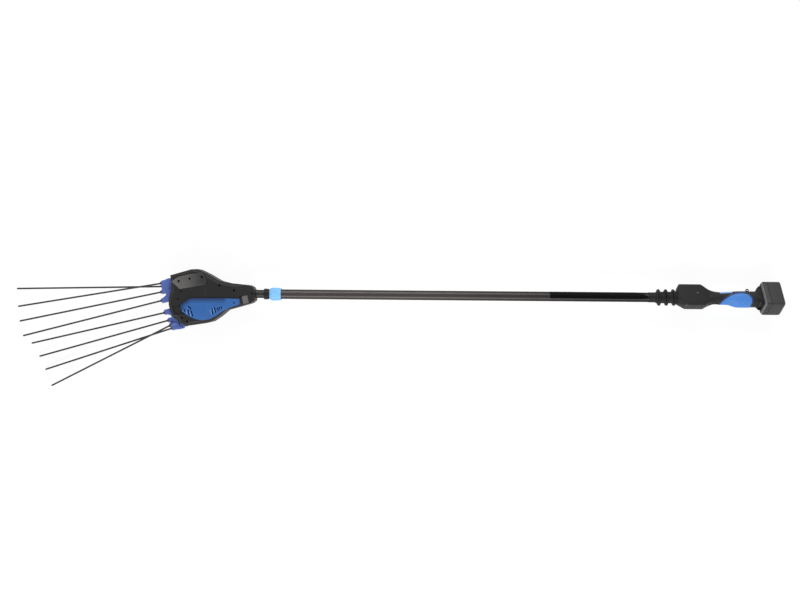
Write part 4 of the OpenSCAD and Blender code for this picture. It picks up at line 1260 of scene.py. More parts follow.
@dataclass
class Covers:
    """The two blue vented covers."""

    outline: Sequence[Point2] = (
        (104.0, 9.5), (105.0, 22.5), (96.0, 37.0), (75.0, 56.0), (54.5, 66.5), (32.0, 68.5),
        (11.0, 63.5), (-10.6, 55.0), (-34.3, 49.5), (-62.8, 48.0), (-66.0, 32.0), (-3.6, 14.5),
        (71.0, -3.0), (87.0, 2.0),
    )
    foot: float = 41.6
    rim: float = 44.4
    crown: float = 5.55
    reach: float = 34.0
    swell: float = 1.7
    grid: float = 3.0
    corner: float = 5.0
    vents: Sequence[tuple[float, float, float, float, float]] = (
        (94.0, 24.5, 94.4, 30.5, 5.0), (83.9, 29.0, 85.0, 42.0, 5.6),
        (76.0, 33.0, 75.2, 48.5, 4.8), (80.0, 18.5, 75.0, 27.0, 0.0),
        (15.8, 42.0, 17.4, 56.0, 4.2), (8.4, 40.5, 8.8, 53.0, 3.7),
        (-0.2, 43.5, -0.2, 49.5, 4.0), (-5.6, 43.0, -5.6, 47.5, 2.7),
        (-10.8, 42.5, -10.8, 45.5, 2.6),
    )
    vent_width: float = 3.5
    vent_round: float = 0.95
    vent_reach: float = 20.0
    lip_width: float = 1.9
    lip_span: Point2 = (-1.2, 0.7)
    lip_edge: float = 0.45
    # How strongly the vent lips are painted light, as the highlight along each ridge.
    lip_highlight: float = 3.2
    # Painted shade: the cover is painted darker near this upper edge, fading out inwards.
    upper_edge: Sequence[Point2] = (
        (104.0, 20.0), (104.0, 9.5), (87.0, 2.0), (71.0, -3.0), (-3.6, 14.5), (-20.0, 19.1),
    )
    edge_shade: float = 0.95
    edge_shade_reach: float = 15.0
    screw: Point2 = (-49.5, 40.0)
    screw_seat: float = 45.6
    screw_bore: float = 2.6
    smooth: float = 40.0
    screw_profile: Sequence[Point2] = (
        (0.0, 0.0), (2.3, 0.0), (2.3, 0.9), (1.9, 1.3), (1.0, 1.3), (0.9, 0.6), (0.0, 0.6),
    )

    @staticmethod
    def line_distance(at: Vector, line: Sequence[Sequence[float]]) -> float:
        """How far a point lies from a line of points.

        Args:
            at: The point.
            line: The points.

        Returns:
            The least distance.
        """
        best = math.inf
        for start, end in zip(line, line[1:]):
            a, run = Vector(start), Vector(end) - Vector(start)
            t = max(0.0, min(1.0, (at - a).dot(run) / run.length_squared))
            best = min(best, (at - a - run * t).length)
        return best

    def height_at(self, at: Vector, ring: Sequence[Sequence[float]]) -> float:
        """The height of the crowned lid over a point.

        Args:
            at: The point.
            ring: The lid's outline.

        Returns:
            The height.
        """
        inward = min(self.line_distance(at, [*ring, ring[0]]) / self.reach, 1.0)
        return self.rim + self.crown * (1.0 - (1.0 - inward) ** self.swell)

    def lid(self) -> Mesh:
        """Shapes the lid before its vents are cut.

        Returns:
            The crowned lid.
        """
        bm = outlined(self.outline, self.foot)
        rounded(bm, bm.verts[:], self.corner, 4, "VERTICES")
        ring = [v.co.xy.copy() for v in bm.faces[:][0].verts]
        drawn_up(bm, self.rim - self.foot)
        top = self.rim - TOUCH
        for axis, normal in enumerate((Vector((1.0, 0.0, 0.0)), Vector((0.0, 1.0, 0.0)))):
            low, high = (pick(p[axis] for p in ring) for pick in (min, max))
            for k in range(1, int((high - low) / self.grid)):
                faces = [f for f in bm.faces if f.calc_center_median().z > top]
                around = dict.fromkeys(g for f in faces for g in (*f.verts, *f.edges))
                sliced(bm, normal * (low + k * self.grid), normal, [*around, *faces])
        for vert in bm.verts:
            if vert.co.z > top:
                vert.co.z = self.height_at(vert.co.xy, ring)
        return outward(bm)

    def slot(self, start: Point2, end: Point2) -> Mesh:
        """A round-ended cutter for a vent.

        Args:
            start: One end of the vent.
            end: Its other end.

        Returns:
            The cutter.
        """
        run = Vector(end) - Vector(start)
        half = self.vent_width / 2.0
        bm = block((-half, -half, 0.0), (run.length + half, half, self.vent_reach))
        upright = [e for e in bm.edges if abs(e.verts[0].co.z - e.verts[1].co.z) > 1.0]
        rounded(bm, upright, half * self.vent_round, 4)
        at = shift(*start, self.foot - 1.0)
        return turned(bm, at @ Matrix.Rotation(math.atan2(run.y, run.x), 4, "Z"))

    def lip(self, start: Point2, end: Point2, gap: float) -> Mesh:
        """The raised lip of a vent, painted light in patches all over as a highlight.

        Args:
            start: One end of the vent.
            end: Its other end.
            gap: How far ahead of the vent the lip stands.

        Returns:
            The mesh.
        """
        run = Vector(end) - Vector(start)
        ends = [Vector((u + gap, v)) for u, v in (start, end)]
        low, high = (self.height_at(p, self.outline) for p in ends)
        half = self.lip_width / 2.0
        foot, top = self.lip_span
        bm = block((0.0, -half, foot), (run.length, half, top), self.lip_edge)
        # Every face of the lip is painted light, in patches, as the highlight along the vent's
        # ridge.
        rubbed_and_lit(bm, bm.faces, self.lip_highlight)
        at = shift(*ends[0], low) @ Matrix.Rotation(math.atan2(run.y, run.x), 4, "Z")
        return turned(bm, at @ Matrix.Rotation(-math.atan2(high - low, run.length), 4, "Y"))

    def edge_shade_at(self, at: Vector) -> float:
        """The share of painted shade at a point, darkest at the upper edge and fading inwards."""
        near = 1.0 - self.line_distance(at.xy, self.upper_edge) / self.edge_shade_reach
        return self.edge_shade * max(0.0, near)

    def build(self, shop: Workshop) -> None:
        """Builds and dresses both covers.

        Args:
            shop: Where the pieces are finished.
        """
        for side, where in (("front", Place.HEAD), ("rear", Place.HEAD_REAR)):
            tools = [self.slot(v[:2], v[2:4]) for v in self.vents]
            top = self.rim + self.vent_reach
            tools.append(rod(self.screw, self.screw_seat, top, self.screw_bore))
            lips = [self.lip(v[:2], v[2:4], v[4]) for v in self.vents if v[4]]
            # The lid is painted with shade along its upper edge.
            bm = two_toned_and_shaded(joined(carved(self.lid(), *tools), *lips), self.edge_shade_at)
            nodes = (f"{side}_cover",)
            shop.place(f"cover_{side}", bm, Finishes.COVER, "head", where, nodes, self.smooth)
            screw = turned(
                lathe(self.screw_profile, 24, False), shift(*self.screw, self.screw_seat)
            )
            shop.place(f"cover_screw_{side}", screw, Finishes.DARK_STEEL, "head", where)


@dataclass
class Combs:
    """The two blue combs, one moulding used twice."""

    pivot: Point2 = (104.0, 40.0)
    hub_radius: float = 13.0
    hub_bore: float = 8.05
    hub_edge: float = 1.0
    fork_low: float = 5.1
    fork_high: float = 15.3
    front: float = 162.0
    rake: float = 12.5
    inner: float = 10.0
    outer: float = 75.5
    back: float = 30.0
    bars: Sequence[tuple[Point2, Point2, float, float]] = (
        ((10.0, 75.5), (14.0, 30.0), 15.3, 1.6), ((12.0, 72.0), (28.0, 42.0), 12.0, 1.4),
        ((36.0, 51.0), (1.0, 17.0), 10.5, 2.6), ((52.0, 74.0), (1.0, 17.0), 14.0, 2.6),
    )
    finger_profile: Sequence[Point2] = (
        (2.55, -20.0), (6.8, -20.0), (6.8, -0.4), (6.3, 0.8), (5.4, 1.4), (4.4, 1.5), (4.3, 2.0),
        (2.55, 2.0),
    )
    # The ferrules' navy caps, a little wider than the fingers' sockets, so that they also paint
    # the shade on the comb's front.
    root_profile: Sequence[Point2] = (
        (2.52, -2.6), (7.1, -2.6), (7.1, -0.2), (6.5, 1.2), (5.5, 1.9), (4.4, 2.3), (4.1, 3.8),
        (3.7, 5.2), (3.0, 6.2), (2.52, 6.4),
    )
    tines: Sequence[Tine] = (
        (18.16, 0.0, -0.83, 3.5), (42.5, 0.0, 1.71, 5.9), (67.32, 0.0, 4.13, 6.4),
        (58.62, 9.0, 12.68, 7.2),
    )
    wing: Sequence[Point2] = ((10.0, 17.0), (10.0, 1.0), (22.5, 1.0), (31.0, 14.0), (31.0, 17.0))
    wing_span: Point2 = (-10.5, 10.5)
    wing_edge: float = 2.4
    web: Sequence[Point2] = ((36.0, 17.0), (36.0, 2.0), (74.0, 2.0), (74.0, 17.0))
    web_span: Point2 = (-14.6, -9.0)
    arm_edge: float = 1.2

    def front_at(self, v: float) -> float:
        """How far ahead the raked front lies at a place across the comb."""
        return self.front - (v - self.inner) * math.tan(math.radians(self.rake))

    def raked(self, corners: Iterable[Point2], low: float, high: float) -> Mesh:
        """A plate whose corners are written as (place across, depth behind the front)."""
        return plate([(self.front_at(v) - depth, v) for v, depth in corners], low, high)

    def slab(self, span: Point2, depth: Point2, half: float, soft: float) -> Mesh:
        """A raked bar across the comb.

        Args:
            span: Its ends across the comb.
            depth: Its faces behind the front.
            half: Half its height.
            soft: How far its edges are rounded.

        Returns:
            The mesh.
        """
        (low, high), (near, far) = span, depth
        corners = ((low, far), (low, near), (high, near), (high, far))
        return softened(self.raked(corners, -half, half), soft, 3)

    def fork(self, side: float) -> list[Mesh]:
        """One arm of the fork and its ring about the pivot.

        Args:
            side: 1 for the upper arm, or -1.

        Returns:
            The ring and the arm.
        """
        u, v = self.pivot
        low, high = sorted((side * self.fork_low, side * self.fork_high))
        r, bore, edge = self.hub_radius, self.hub_bore, self.hub_edge
        ring = lathe((
            (bore, low), (r - edge, low), (r, low + edge), (r, high - edge), (r - edge, high),
            (bore, high),
        ), 56)
        root = self.front_at(self.inner) - self.back
        tip = self.front_at(self.outer) - self.back
        arm = plate((
            (u + 5.6, v - 10.6), (root + 3.0, 16.8), (tip + 7.5, 71.2), (u - 1.6, v + 11.8),
            (u + 8.0, v + 6.0), (u + 10.0, v),
        ), low, high)
        return [turned(ring, shift(u, v)), softened(arm, self.arm_edge)]

    def sleeves(self, profile: Sequence[Point2]) -> list[Mesh]:
        """Spins a round sleeve for every tine.

        Args:
            profile: Its outline, with heights from the front of the comb along the tine.

        Returns:
            The sleeves.
        """
        made = []
        for v, rise, out, down in self.tines:
            at = shift(self.front_at(v), v, rise) @ spin(out, "Z")
            made.append(turned(lathe(profile, 32), at @ spin(90.0 + down, "Y")))
        return made

    def moulding(self) -> Mesh:
        """Shapes the whole comb, drawn for the lower one.

        Returns:
            The mesh.
        """
        parts = [self.slab(*bar) for bar in self.bars]
        parts.append(softened(self.raked(self.wing, *self.wing_span), self.wing_edge, 3))
        parts.append(softened(self.raked(self.web, *self.web_span), self.arm_edge))
        parts += self.fork(-1.0) + self.fork(1.0) + self.sleeves(self.finger_profile)
        return joined(*parts)

    def build(self, shop: Workshop) -> None:
        """Builds and dresses both combs.

        Args:
            shop: Where the pieces are finished.
        """
        for side, where in (("upper", Place.COMB_UPPER), ("lower", Place.HEAD)):
            roots = joined(*self.sleeves(self.root_profile))
            for name, bm, finish, node in (
                ("moulding", self.moulding(), Finishes.COMB, "comb"),
                ("roots", roots, Finishes.ROOT, "ferrules"),
            ):
                body = f"comb_{side}"
                shop.place(f"{body}_{name}", bm, finish, body, where, (f"{side}_{node}",))


@dataclass
class PoleFittings:
    """The lock collar, stop ring, plain band and ribbed boot on the pole."""

    collar_start: float = -382.2
    collar_radius: float = 19.0
    collar_bore: float = 12.35
    collar_lip: float = 6.0
    bush_bore: float = 16.1
    seal_radius: float = 13.8
    seal_length: float = 3.4
    collar_profile: Sequence[Point2] = (
        (-2.6, 3.4), (-1.9, 4.0), (-1.6, 4.8), (-1.6, 6.4), (-0.7, 7.2), (-0.1, 12.0),
        (0.0, 18.0), (-0.1, 24.0), (-0.7, 30.0), (-1.4, 34.6), (-2.4, 36.0),
    )
    collar_length: float = 36.0
    flutes: int = 12
    flute_span: Point2 = (7.0, 31.0)
    flute_depth: float = 0.045
    flute_width: float = 0.35
    ring_start: float = -396.2
    ring_radius: float = 16.0
    ring_profile: Sequence[Point2] = (
        (-1.4, 0.0), (-0.4, 0.6), (0.0, 1.6), (0.0, 3.6), (-1.2, 4.2), (-1.2, 5.2), (0.0, 5.8),
        (0.0, 8.2), (-1.2, 8.8), (-1.2, 9.8), (0.0, 10.4), (0.0, 11.6), (-0.6, 12.6),
        (-1.4, 13.0),
    )
    ring_length: float = 13.0
    tube_radius: float = 12.05
    pole_radius: float = 14.03
    band_start: float = 436.0
    band_length: float = 287.0
    band_wall: float = 0.24
    band_turns: Point2 = (-24.0, 205.0)
    band_point: float = -6.0
    tail_rise: float = 0.9
    tail_length: float = 34.0
    tail_turn: float = 75.0
    tail_curve: float = 1.4
    boot_start: float = 745.0
    boot_length: float = 61.0
    boot_radius: float = 17.0
    boot_foot: Sequence[Point2] = (
        (14.03, -21.0), (14.5, -21.0), (14.7, -20.0), (14.7, -0.8), (15.6, 0.0), (16.6, 1.2),
        (17.0, 2.6),
    )
    boot_ring: float = 24.4
    boot_bead: Point2 = (2.2, 2.6)
    bead_turns: Sequence[float] = (-66.0, -36.0, 0.0, 36.0, 66.0)
    boot_rings: Sequence[float] = (8.6, 30.2, 52.0)
    boot_slant: float = 0.06

    def collar(self) -> Mesh:
        """Shapes the barrelled collar, with flats pressed between its grips and a dark seal.

        Returns:
            The mesh.
        """
        radius, seal, bore = self.collar_radius, self.seal_radius, self.collar_bore
        bm = lathe((
            (bore, 0.0), (seal - 0.4, 0.0), (seal, 0.4), (seal, self.seal_length),
            *about(radius, self.collar_profile), (self.bush_bore, self.collar_length),
            (self.bush_bore, self.collar_lip), (bore, self.collar_lip),
        ), self.flutes * 8)
        low, high = self.flute_span
        for vert in bm.verts:
            if low < vert.co.z < high and vert.co.xy.length > radius - 2.0:
                wave = math.cos(self.flutes * math.atan2(vert.co.y, vert.co.x))
                press = math.sin(math.pi * (vert.co.z - low) / (high - low))
                vert.co.xy *= 1.0 - self.flute_depth * max(0.0, self.flute_width - wave) * press
        two_toned_and_shaded(bm, lambda at: float(at.z < self.seal_length - 0.1))
        return along_x(bm, self.collar_start)

    def stop(self) -> Mesh:
        """Shapes the black ring with its two shallow grooves.

        Returns:
            The mesh.
        """
        outside = about(self.ring_radius, self.ring_profile)
        bore = ((self.tube_radius, self.ring_length), (self.tube_radius, 0.0))
        return along_x(lathe((*outside, *bore), 64), self.ring_start)

    def band_end(self, turn: float) -> float:
        """How long the band is at a place round the pole.

        Args:
            turn: The place, in degrees from the side that faces up.

        Returns:
            The length.
        """
        if turn < self.band_point:
            return self.band_length - self.tail_rise * (self.band_point - turn)
        share = min((turn - self.band_point) / self.tail_turn, 1.0)
        return self.band_length - self.tail_length * share ** self.tail_curve

    def band(self) -> Mesh:
        """Shapes the plain dark band.

        Returns:
            The band, open below and with a pointed tail towards the boot.
        """
        bm = started()
        bmesh.ops.create_grid(bm, x_segments=40, y_segments=72, size=1.0)
        radius = self.pole_radius + self.band_wall
        low, high = self.band_turns
        for vert in bm.verts:
            turn = low + (high - low) * (vert.co.y + 1.0) / 2.0
            x = self.band_start + self.band_end(turn) * (vert.co.x + 1.0) / 2.0
            angle = math.radians(turn)
            vert.co = (x, radius * math.sin(angle), radius * math.cos(angle))
        bmesh.ops.recalc_face_normals(bm, faces=bm.faces)
        first = bm.faces[:][0]
        if first.normal.yz.dot(first.calc_center_median().yz) < 0.0:
            bmesh.ops.reverse_faces(bm, faces=bm.faces)
        return walled(bm, self.band_wall)

    def boot(self) -> Mesh:
        """Shapes the rubber boot with its three round rings, a little slanted.

        Returns:
            The mesh.
        """
        r, length, (bead, half) = self.boot_radius, self.boot_length, self.boot_bead
        big = self.boot_ring - bead
        profile = list(self.boot_foot)
        for at in self.boot_rings:
            profile += [(r, at - 4.6), (r + 1.2, at - 3.4), (big, at - 2.7)]
            for turn in map(math.radians, self.bead_turns):
                profile.append((big + bead * math.cos(turn), at + half * math.sin(turn)))
            profile += [(big, at + 2.7), (r + 1.2, at + 3.4), (r, at + 4.6)]
        profile += [(r, length - 2.0), (r + 1.2, length), (self.pole_radius, length)]
        bm = lathe(profile, 72)
        for vert in bm.verts:
            if vert.co.xy.length > r + 0.5 and 2.0 < vert.co.z < length - 2.0:
                vert.co.z -= self.boot_slant * vert.co.x
        return along_x(bm, self.boot_start)

    def build(self, shop: Workshop) -> None:
        """Builds and dresses the fittings.

        Args:
            shop: Where the pieces are finished.
        """
        for name, bm, finish, body, node in (
            ("lock_collar_grip", self.collar(), Finishes.COLLAR, "collar", "lock_collar"),
            ("stop_ring_grooved", self.stop(), Finishes.SHELL, "head", "stop_ring"),
            ("pole_band", self.band(), Finishes.BAND, "pole_handle", "pole_label"),
            ("boot_ribbed", self.boot(), Finishes.BOOT, "pole_handle", "ribbed_boot"),
        ):
            shop.place(name, bm, finish, body, Place.POLE, (node,))


@dataclass
class Handle:
    """Control box, grip, soft pad, thumb lever and button."""

    length: float = 230.0
    rows: Sequence[Sequence[float]] = (
        (0.0, 20.0, 20.0, 18.0, 0.0, 14.0, 0.0), (15.6, 32.0, 23.0, 4.5, -2.8, 17.0, -0.31),
        (73.0, 32.0, 23.0, 4.5, -2.8, 17.0, -0.15), (92.0, 22.2, 19.2, 12.1, 0.0, 8.0, 0.0),
        (105.8, 19.2, 19.2, 18.2, 0.0, 0.0, 0.0), (125.4, 18.2, 18.2, 18.18, 1.1, 0.0, 0.0),
        (150.7, 18.93, 18.93, 18.2, 0.83, 0.0, 0.0), (165.6, 21.62, 21.62, 20.9, 2.8, 0.0, 0.0),
        (176.0, 23.0, 23.0, 21.9, 3.3, 0.0, 0.0), (230.0, 23.0, 23.0, 21.9, 3.3, 0.0, 0.0),
    )
    box_rows: int = 2
    neck_rows: int = 4
    steps: int = 6
    box_span: Point2 = (3.0, 90.0)
    box_edge: float = 1.4
    box_angle: float = 20.0
    box_least: float = 0.3
    seam: float = 0.7
    seam_half: float = 0.5
    screws: Sequence[Point2] = (
        (29.9, 20.0), (29.9, -20.0), (72.0, 18.0), (72.0, -18.0), (112.0, 0.0), (207.9, 0.0),
    )
    screw_radius: float = 3.1
    screw_seat: float = -10.0
    button_at: float = 56.0
    button_bore: Sequence[Point2] = (
        (0.0, -9.0), (6.5, -9.0), (6.5, -5.2), (4.7, -5.2), (4.7, 40.0), (0.0, 40.0),
    )
    button_profile: Sequence[Point2] = (
        (0.0, -7.0), (6.0, -7.0), (6.0, -5.4), (4.5, -5.4), (4.5, 0.2), (4.2, 0.6), (3.5, 0.8),
        (2.9, 0.6), (0.0, 0.9),
    )
    bezel_profile: Sequence[Point2] = ((4.8, -1.0), (6.5, -1.0), (6.2, 0.3), (5.1, 0.5))
    face_height: float = 24.97
    face_turn: float = 17.0
    pad: Sequence[Point2] = (
        (124.4, -20.5), (126.6, -16.0), (130.2, -10.4), (138.6, -2.2), (150.0, 5.0),
        (160.9, 9.9), (172.7, 13.2), (184.5, 14.0), (196.3, 12.8), (205.0, 8.0), (210.8, -0.4),
        (212.6, -10.2), (211.0, -19.1), (209.1, -42.0), (124.4, -42.0),
    )
    pad_corner: float = 2.0
    pad_edge: float = 0.6
    pad_skins: Point2 = (-2.0, 0.9)
    rim: float = 4.2
    rim_skins: Point2 = (-1.0, 0.35)
    eye_at: Point2 = (206.1, 22.7)
    eye_profile: Sequence[Point2] = (
        (2.2, -2.5), (3.9, -2.5), (4.6, -1.6), (4.6, 1.6), (3.9, 2.5), (2.2, 2.5),
    )
    stalk: Sequence[Sequence[float]] = ((-4.0, -6.8, -2.4), (4.0, -2.4, 2.4))
    stalk_edge: float = 0.6
    lever: Sequence[Point2] = (
        (124.4, 8.0), (124.4, 15.6), (130.0, 16.6), (146.0, 17.9), (156.0, 18.3), (162.0, 17.4),
        (162.0, 13.6), (148.0, 12.5), (134.1, 8.0),
    )
    lever_sides: Point2 = (-3.2, 5.8)
    lever_edge: float = 1.1
    ridges: int = 4
    ridge_start: Point2 = (143.0, 17.75)
    ridge_step: Point2 = (4.0, 0.12)
    ridge_half: float = 0.8
    ridge_inset: float = 1.4
    ridge_rise: float = 0.5
    ridge_edge: float = 0.4
    pocket: tuple[float, float, float, float] = (123.5, 164.5, 1.4, 6.0)
    spring: tuple[float, float, float, int] = (2.5, 0.35, 2.5, 16)
    spring_at: tuple[float, float, float] = (143.06, 0.0, 6.01)
    spring_height: float = 3.6
    spring_pressed: float = 0.78

    def form(self, grow: float) -> Mesh:
        """The skin of the handle, with extra rings for its curves.

        Args:
            grow: How far it is grown, or shrunk where it is below 0.

        Returns:
            The mesh.
        """
        roll = math.radians(GRIP_ROLL)
        fine = []
        for k, (row, after) in enumerate(zip(self.rows, self.rows[1:])):
            steps = 1 if k < self.box_rows else self.steps
            before = self.rows[k - 1] if k >= self.neck_rows else row
            beyond = self.rows[min(k + 2, len(self.rows) - 1)]
            near = (before, row, after, beyond)
            fine += [self.between(*near, i / steps) for i in range(steps)]
        fine.append(self.rows[-1])
        return ringed([
            (x, w + grow, h + grow, min(c, min(w, h) - 0.02) + grow, -drop * math.cos(roll),
             -drop * math.sin(roll), twist, lean)
            for x, w, h, c, drop, twist, lean in fine
        ])

    @staticmethod
    def between(
        before: Sequence[float], row: Sequence[float], after: Sequence[float],
        beyond: Sequence[float], t: float,
    ) -> tuple[float, ...]:
        """A row on the smooth curve from one row to the next.

        Args:
            before: The row before these two.
            row: The row that the curve leaves.
            after: The row that it comes to.
            beyond: The row after these two.
            t: How far along it is, 0 to 1.

        Returns:
            The row.
        """
        span = after[0] - row[0]
        made = [row[0] + span * t]
        for a, b, c, d in list(zip(before, row, after, beyond))[1:]:
            m1 = (c - a) / (after[0] - before[0]) * span
            m2 = (d - b) / (beyond[0] - row[0]) * span
            h00, h10 = 2 * t ** 3 - 3 * t ** 2 + 1, t ** 3 - 2 * t ** 2 + t
            h01, h11 = -2 * t ** 3 + 3 * t ** 2, t ** 3 - t ** 2
            made.append(h00 * b + h10 * m1 + h01 * c + h11 * m2)
        return tuple(made)

    def pad_prism(self, grow: float) -> Mesh:
        """Draws the pad's outline through the grip.

        Args:
            grow: How far the outline is grown.

        Returns:
            The prism.
        """
        bm = outlined(widened(self.pad, grow), -FAR)
        rounded(bm, bm.verts[:], self.pad_corner, 3, "VERTICES")
        drawn_up(bm, 2.0 * FAR)
        return turned(outward(bm), spin(GRIP_ROLL, "X"))

    def pocket_tool(self) -> Mesh:
        """Shapes a cutter for the lever's pocket.

        Returns:
            The cutter.
        """
        x0, x1, gap, floor = self.pocket
        low, high = self.lever_sides
        room = block((x0, low - gap, floor), (x1, high + gap, FAR))
        return turned(room, spin(LEVER_ROLL, "X"))

    def shell(self) -> Mesh:
        """Shapes both halves of the handle.

        Returns:
            The mesh, with the seam between the halves and the openings cut.
        """
        bm = self.form(0.0)
        start, end = self.box_span
        corners = [
            e for e in bm.edges
            if len(e.link_faces) == 2 and e.calc_face_angle() > math.radians(self.box_angle)
            and start < (e.verts[0].co.x + e.verts[1].co.x) / 2.0 < end
            and e.calc_length() > self.box_least
        ]
        # The box's rounded corners are marked lighter: abrasion, and a painted highlight along
        # them.
        rubbed_and_lit(bm, rounded(bm, corners, self.box_edge, 2))
        for level in (-self.seam_half, 0.0, self.seam_half):
            sliced(bm, (0.0, 0.0, level), UP)
        for vert in bm.verts:
            if abs(vert.co.z) < MILLI and 1.0 < vert.co.x < self.length - 1.0:
                vert.co.y -= math.copysign(self.seam, vert.co.y)
        bm = carved(
            bm, self.pocket_tool(), self.on_face(lathe(self.button_bore, 40, False)),
            *[rod(p, -FAR, self.screw_seat, self.screw_radius) for p in self.screws],
        )
        stalk = block(*self.stalk, self.stalk_edge)
        eye = turned(joined(lathe(self.eye_profile, 32), stalk), shift(*self.eye_at))
        return joined(bm, turned(eye, spin(GRIP_ROLL, "X")))

    def cushion(self, skins: Point2, grow: float) -> Mesh:
        """Cuts a layer of the grip to the pad's outline.

        Args:
            skins: How far its inner and outer skin lie from the grip's.
            grow: How far the outline is grown.

        Returns:
            The mesh, with the lever's pocket left open.
        """
        inner, outer = skins
        bm = carved(self.form(outer), self.pad_prism(grow), operation="INTERSECT")
        return carved(bm, self.form(inner), self.pocket_tool())

    def soft_pad(self) -> Mesh:
        """The blue pad, a little proud of the grip."""
        return softened(outward(self.cushion(self.pad_skins, 0.0)), self.pad_edge, angle=40.0)

    def pad_rim(self) -> Mesh:
        """The dark rim that the pad is moulded into; its navy also stands in, as painted shade,
        for the dark gap round the pad.
        """
        return self.cushion(self.rim_skins, self.rim)

    def thumb_lever(self) -> Mesh:
        """Shapes the lever with its rounded edges and thumb ridges.

        Returns:
            The mesh.
        """
        low, high = self.lever_sides
        bm = turned(plate(self.lever, -high, -low), spin(90.0, "X"))
        softened(outward(bm), self.lever_edge, 3)
        ridges = []
        half, inset = self.ridge_half, self.ridge_inset
        for k in range(self.ridges):
            x, z = (a + k * b for a, b in zip(self.ridge_start, self.ridge_step))
            start = (x - half, low + inset, z - half)
            end = (x + half, high - inset, z + self.ridge_rise)
            ridges.append(block(start, end, self.ridge_edge))
        return joined(bm, *ridges)

    def on_face(self, bm: Mesh) -> Mesh:
        """Leans a mesh that stands on Z onto the face of the box.

        Args:
            bm: The mesh.

        Returns:
            The same mesh, with its sides left along the button's travel.
        """
        lean = Matrix.Identity(4)
        lean[2][1] = math.tan(math.radians(self.face_turn))
        return turned(bm, shift(self.button_at, 0.0, self.face_height) @ lean)

    def button(self) -> Mesh:
        """The domed button with its flange."""
        return self.on_face(lathe(self.button_profile, 40, False))

    def bezel(self) -> Mesh:
        """The thin ring round the button."""
        return self.on_face(lathe(self.bezel_profile, 40))

    def coil(self) -> Mesh:
        """Shapes the return spring under the lever.

        Returns:
            The mesh.
        """
        radius, wire, turns, steps = self.spring
        bm = started()
        ring = bmesh.ops.create_circle(
            bm, segments=8, radius=wire, matrix=shift(radius - wire, 0.0, wire) @ spin(90.0, "X")
        )["verts"]
        rise = (self.spring_height - 2.0 * wire) / (turns * steps)
        bmesh.ops.spin(
            bm, geom=ring + bm.edges[:], cent=ORIGIN, axis=UP, dvec=(0.0, 0.0, rise),
            angle=2.0 * math.pi * turns, steps=int(turns * steps),
        )
        bmesh.ops.holes_fill(bm, edges=bm.edges, sides=0)
        return turned(outward(bm), shift(*self.spring_at))

    def build(self, shop: Workshop) -> None:
        """Builds and dresses the handle.

        Args:
            shop: Where the pieces are finished.
        """
        fixed, grip = "pole_handle", Place.GRIP
        halves = ("handle_top", "handle_bottom")
        shop.place("handle_shell", self.shell(), Finishes.HANDLE, fixed, grip, halves)
        shop.place("grip_soft_pad", self.soft_pad(), Finishes.GRIP, fixed, grip, ("grip_pad",))
        shop.place("grip_pad_rim", self.pad_rim(), Finishes.RIM, fixed, grip)
        shop.place(
            "thumb_lever_ridged", self.thumb_lever(), Finishes.LEVER, "lever", Place.LEVER,
            ("thumb_lever",),
        )
        spring = shop.place(
            "lever_spring_coil", self.coil(), Finishes.STEEL, fixed, Place.LEVER, ("lever_spring",)
        )
        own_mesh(spring)
        shop.place(
            "button_domed", self.button(), Finishes.BUTTON, "button", grip, ("power_button",)
        )
        shop.place("button_bezel", self.bezel(), Finishes.DOCK_SHADE_BLACK, fixed, grip)


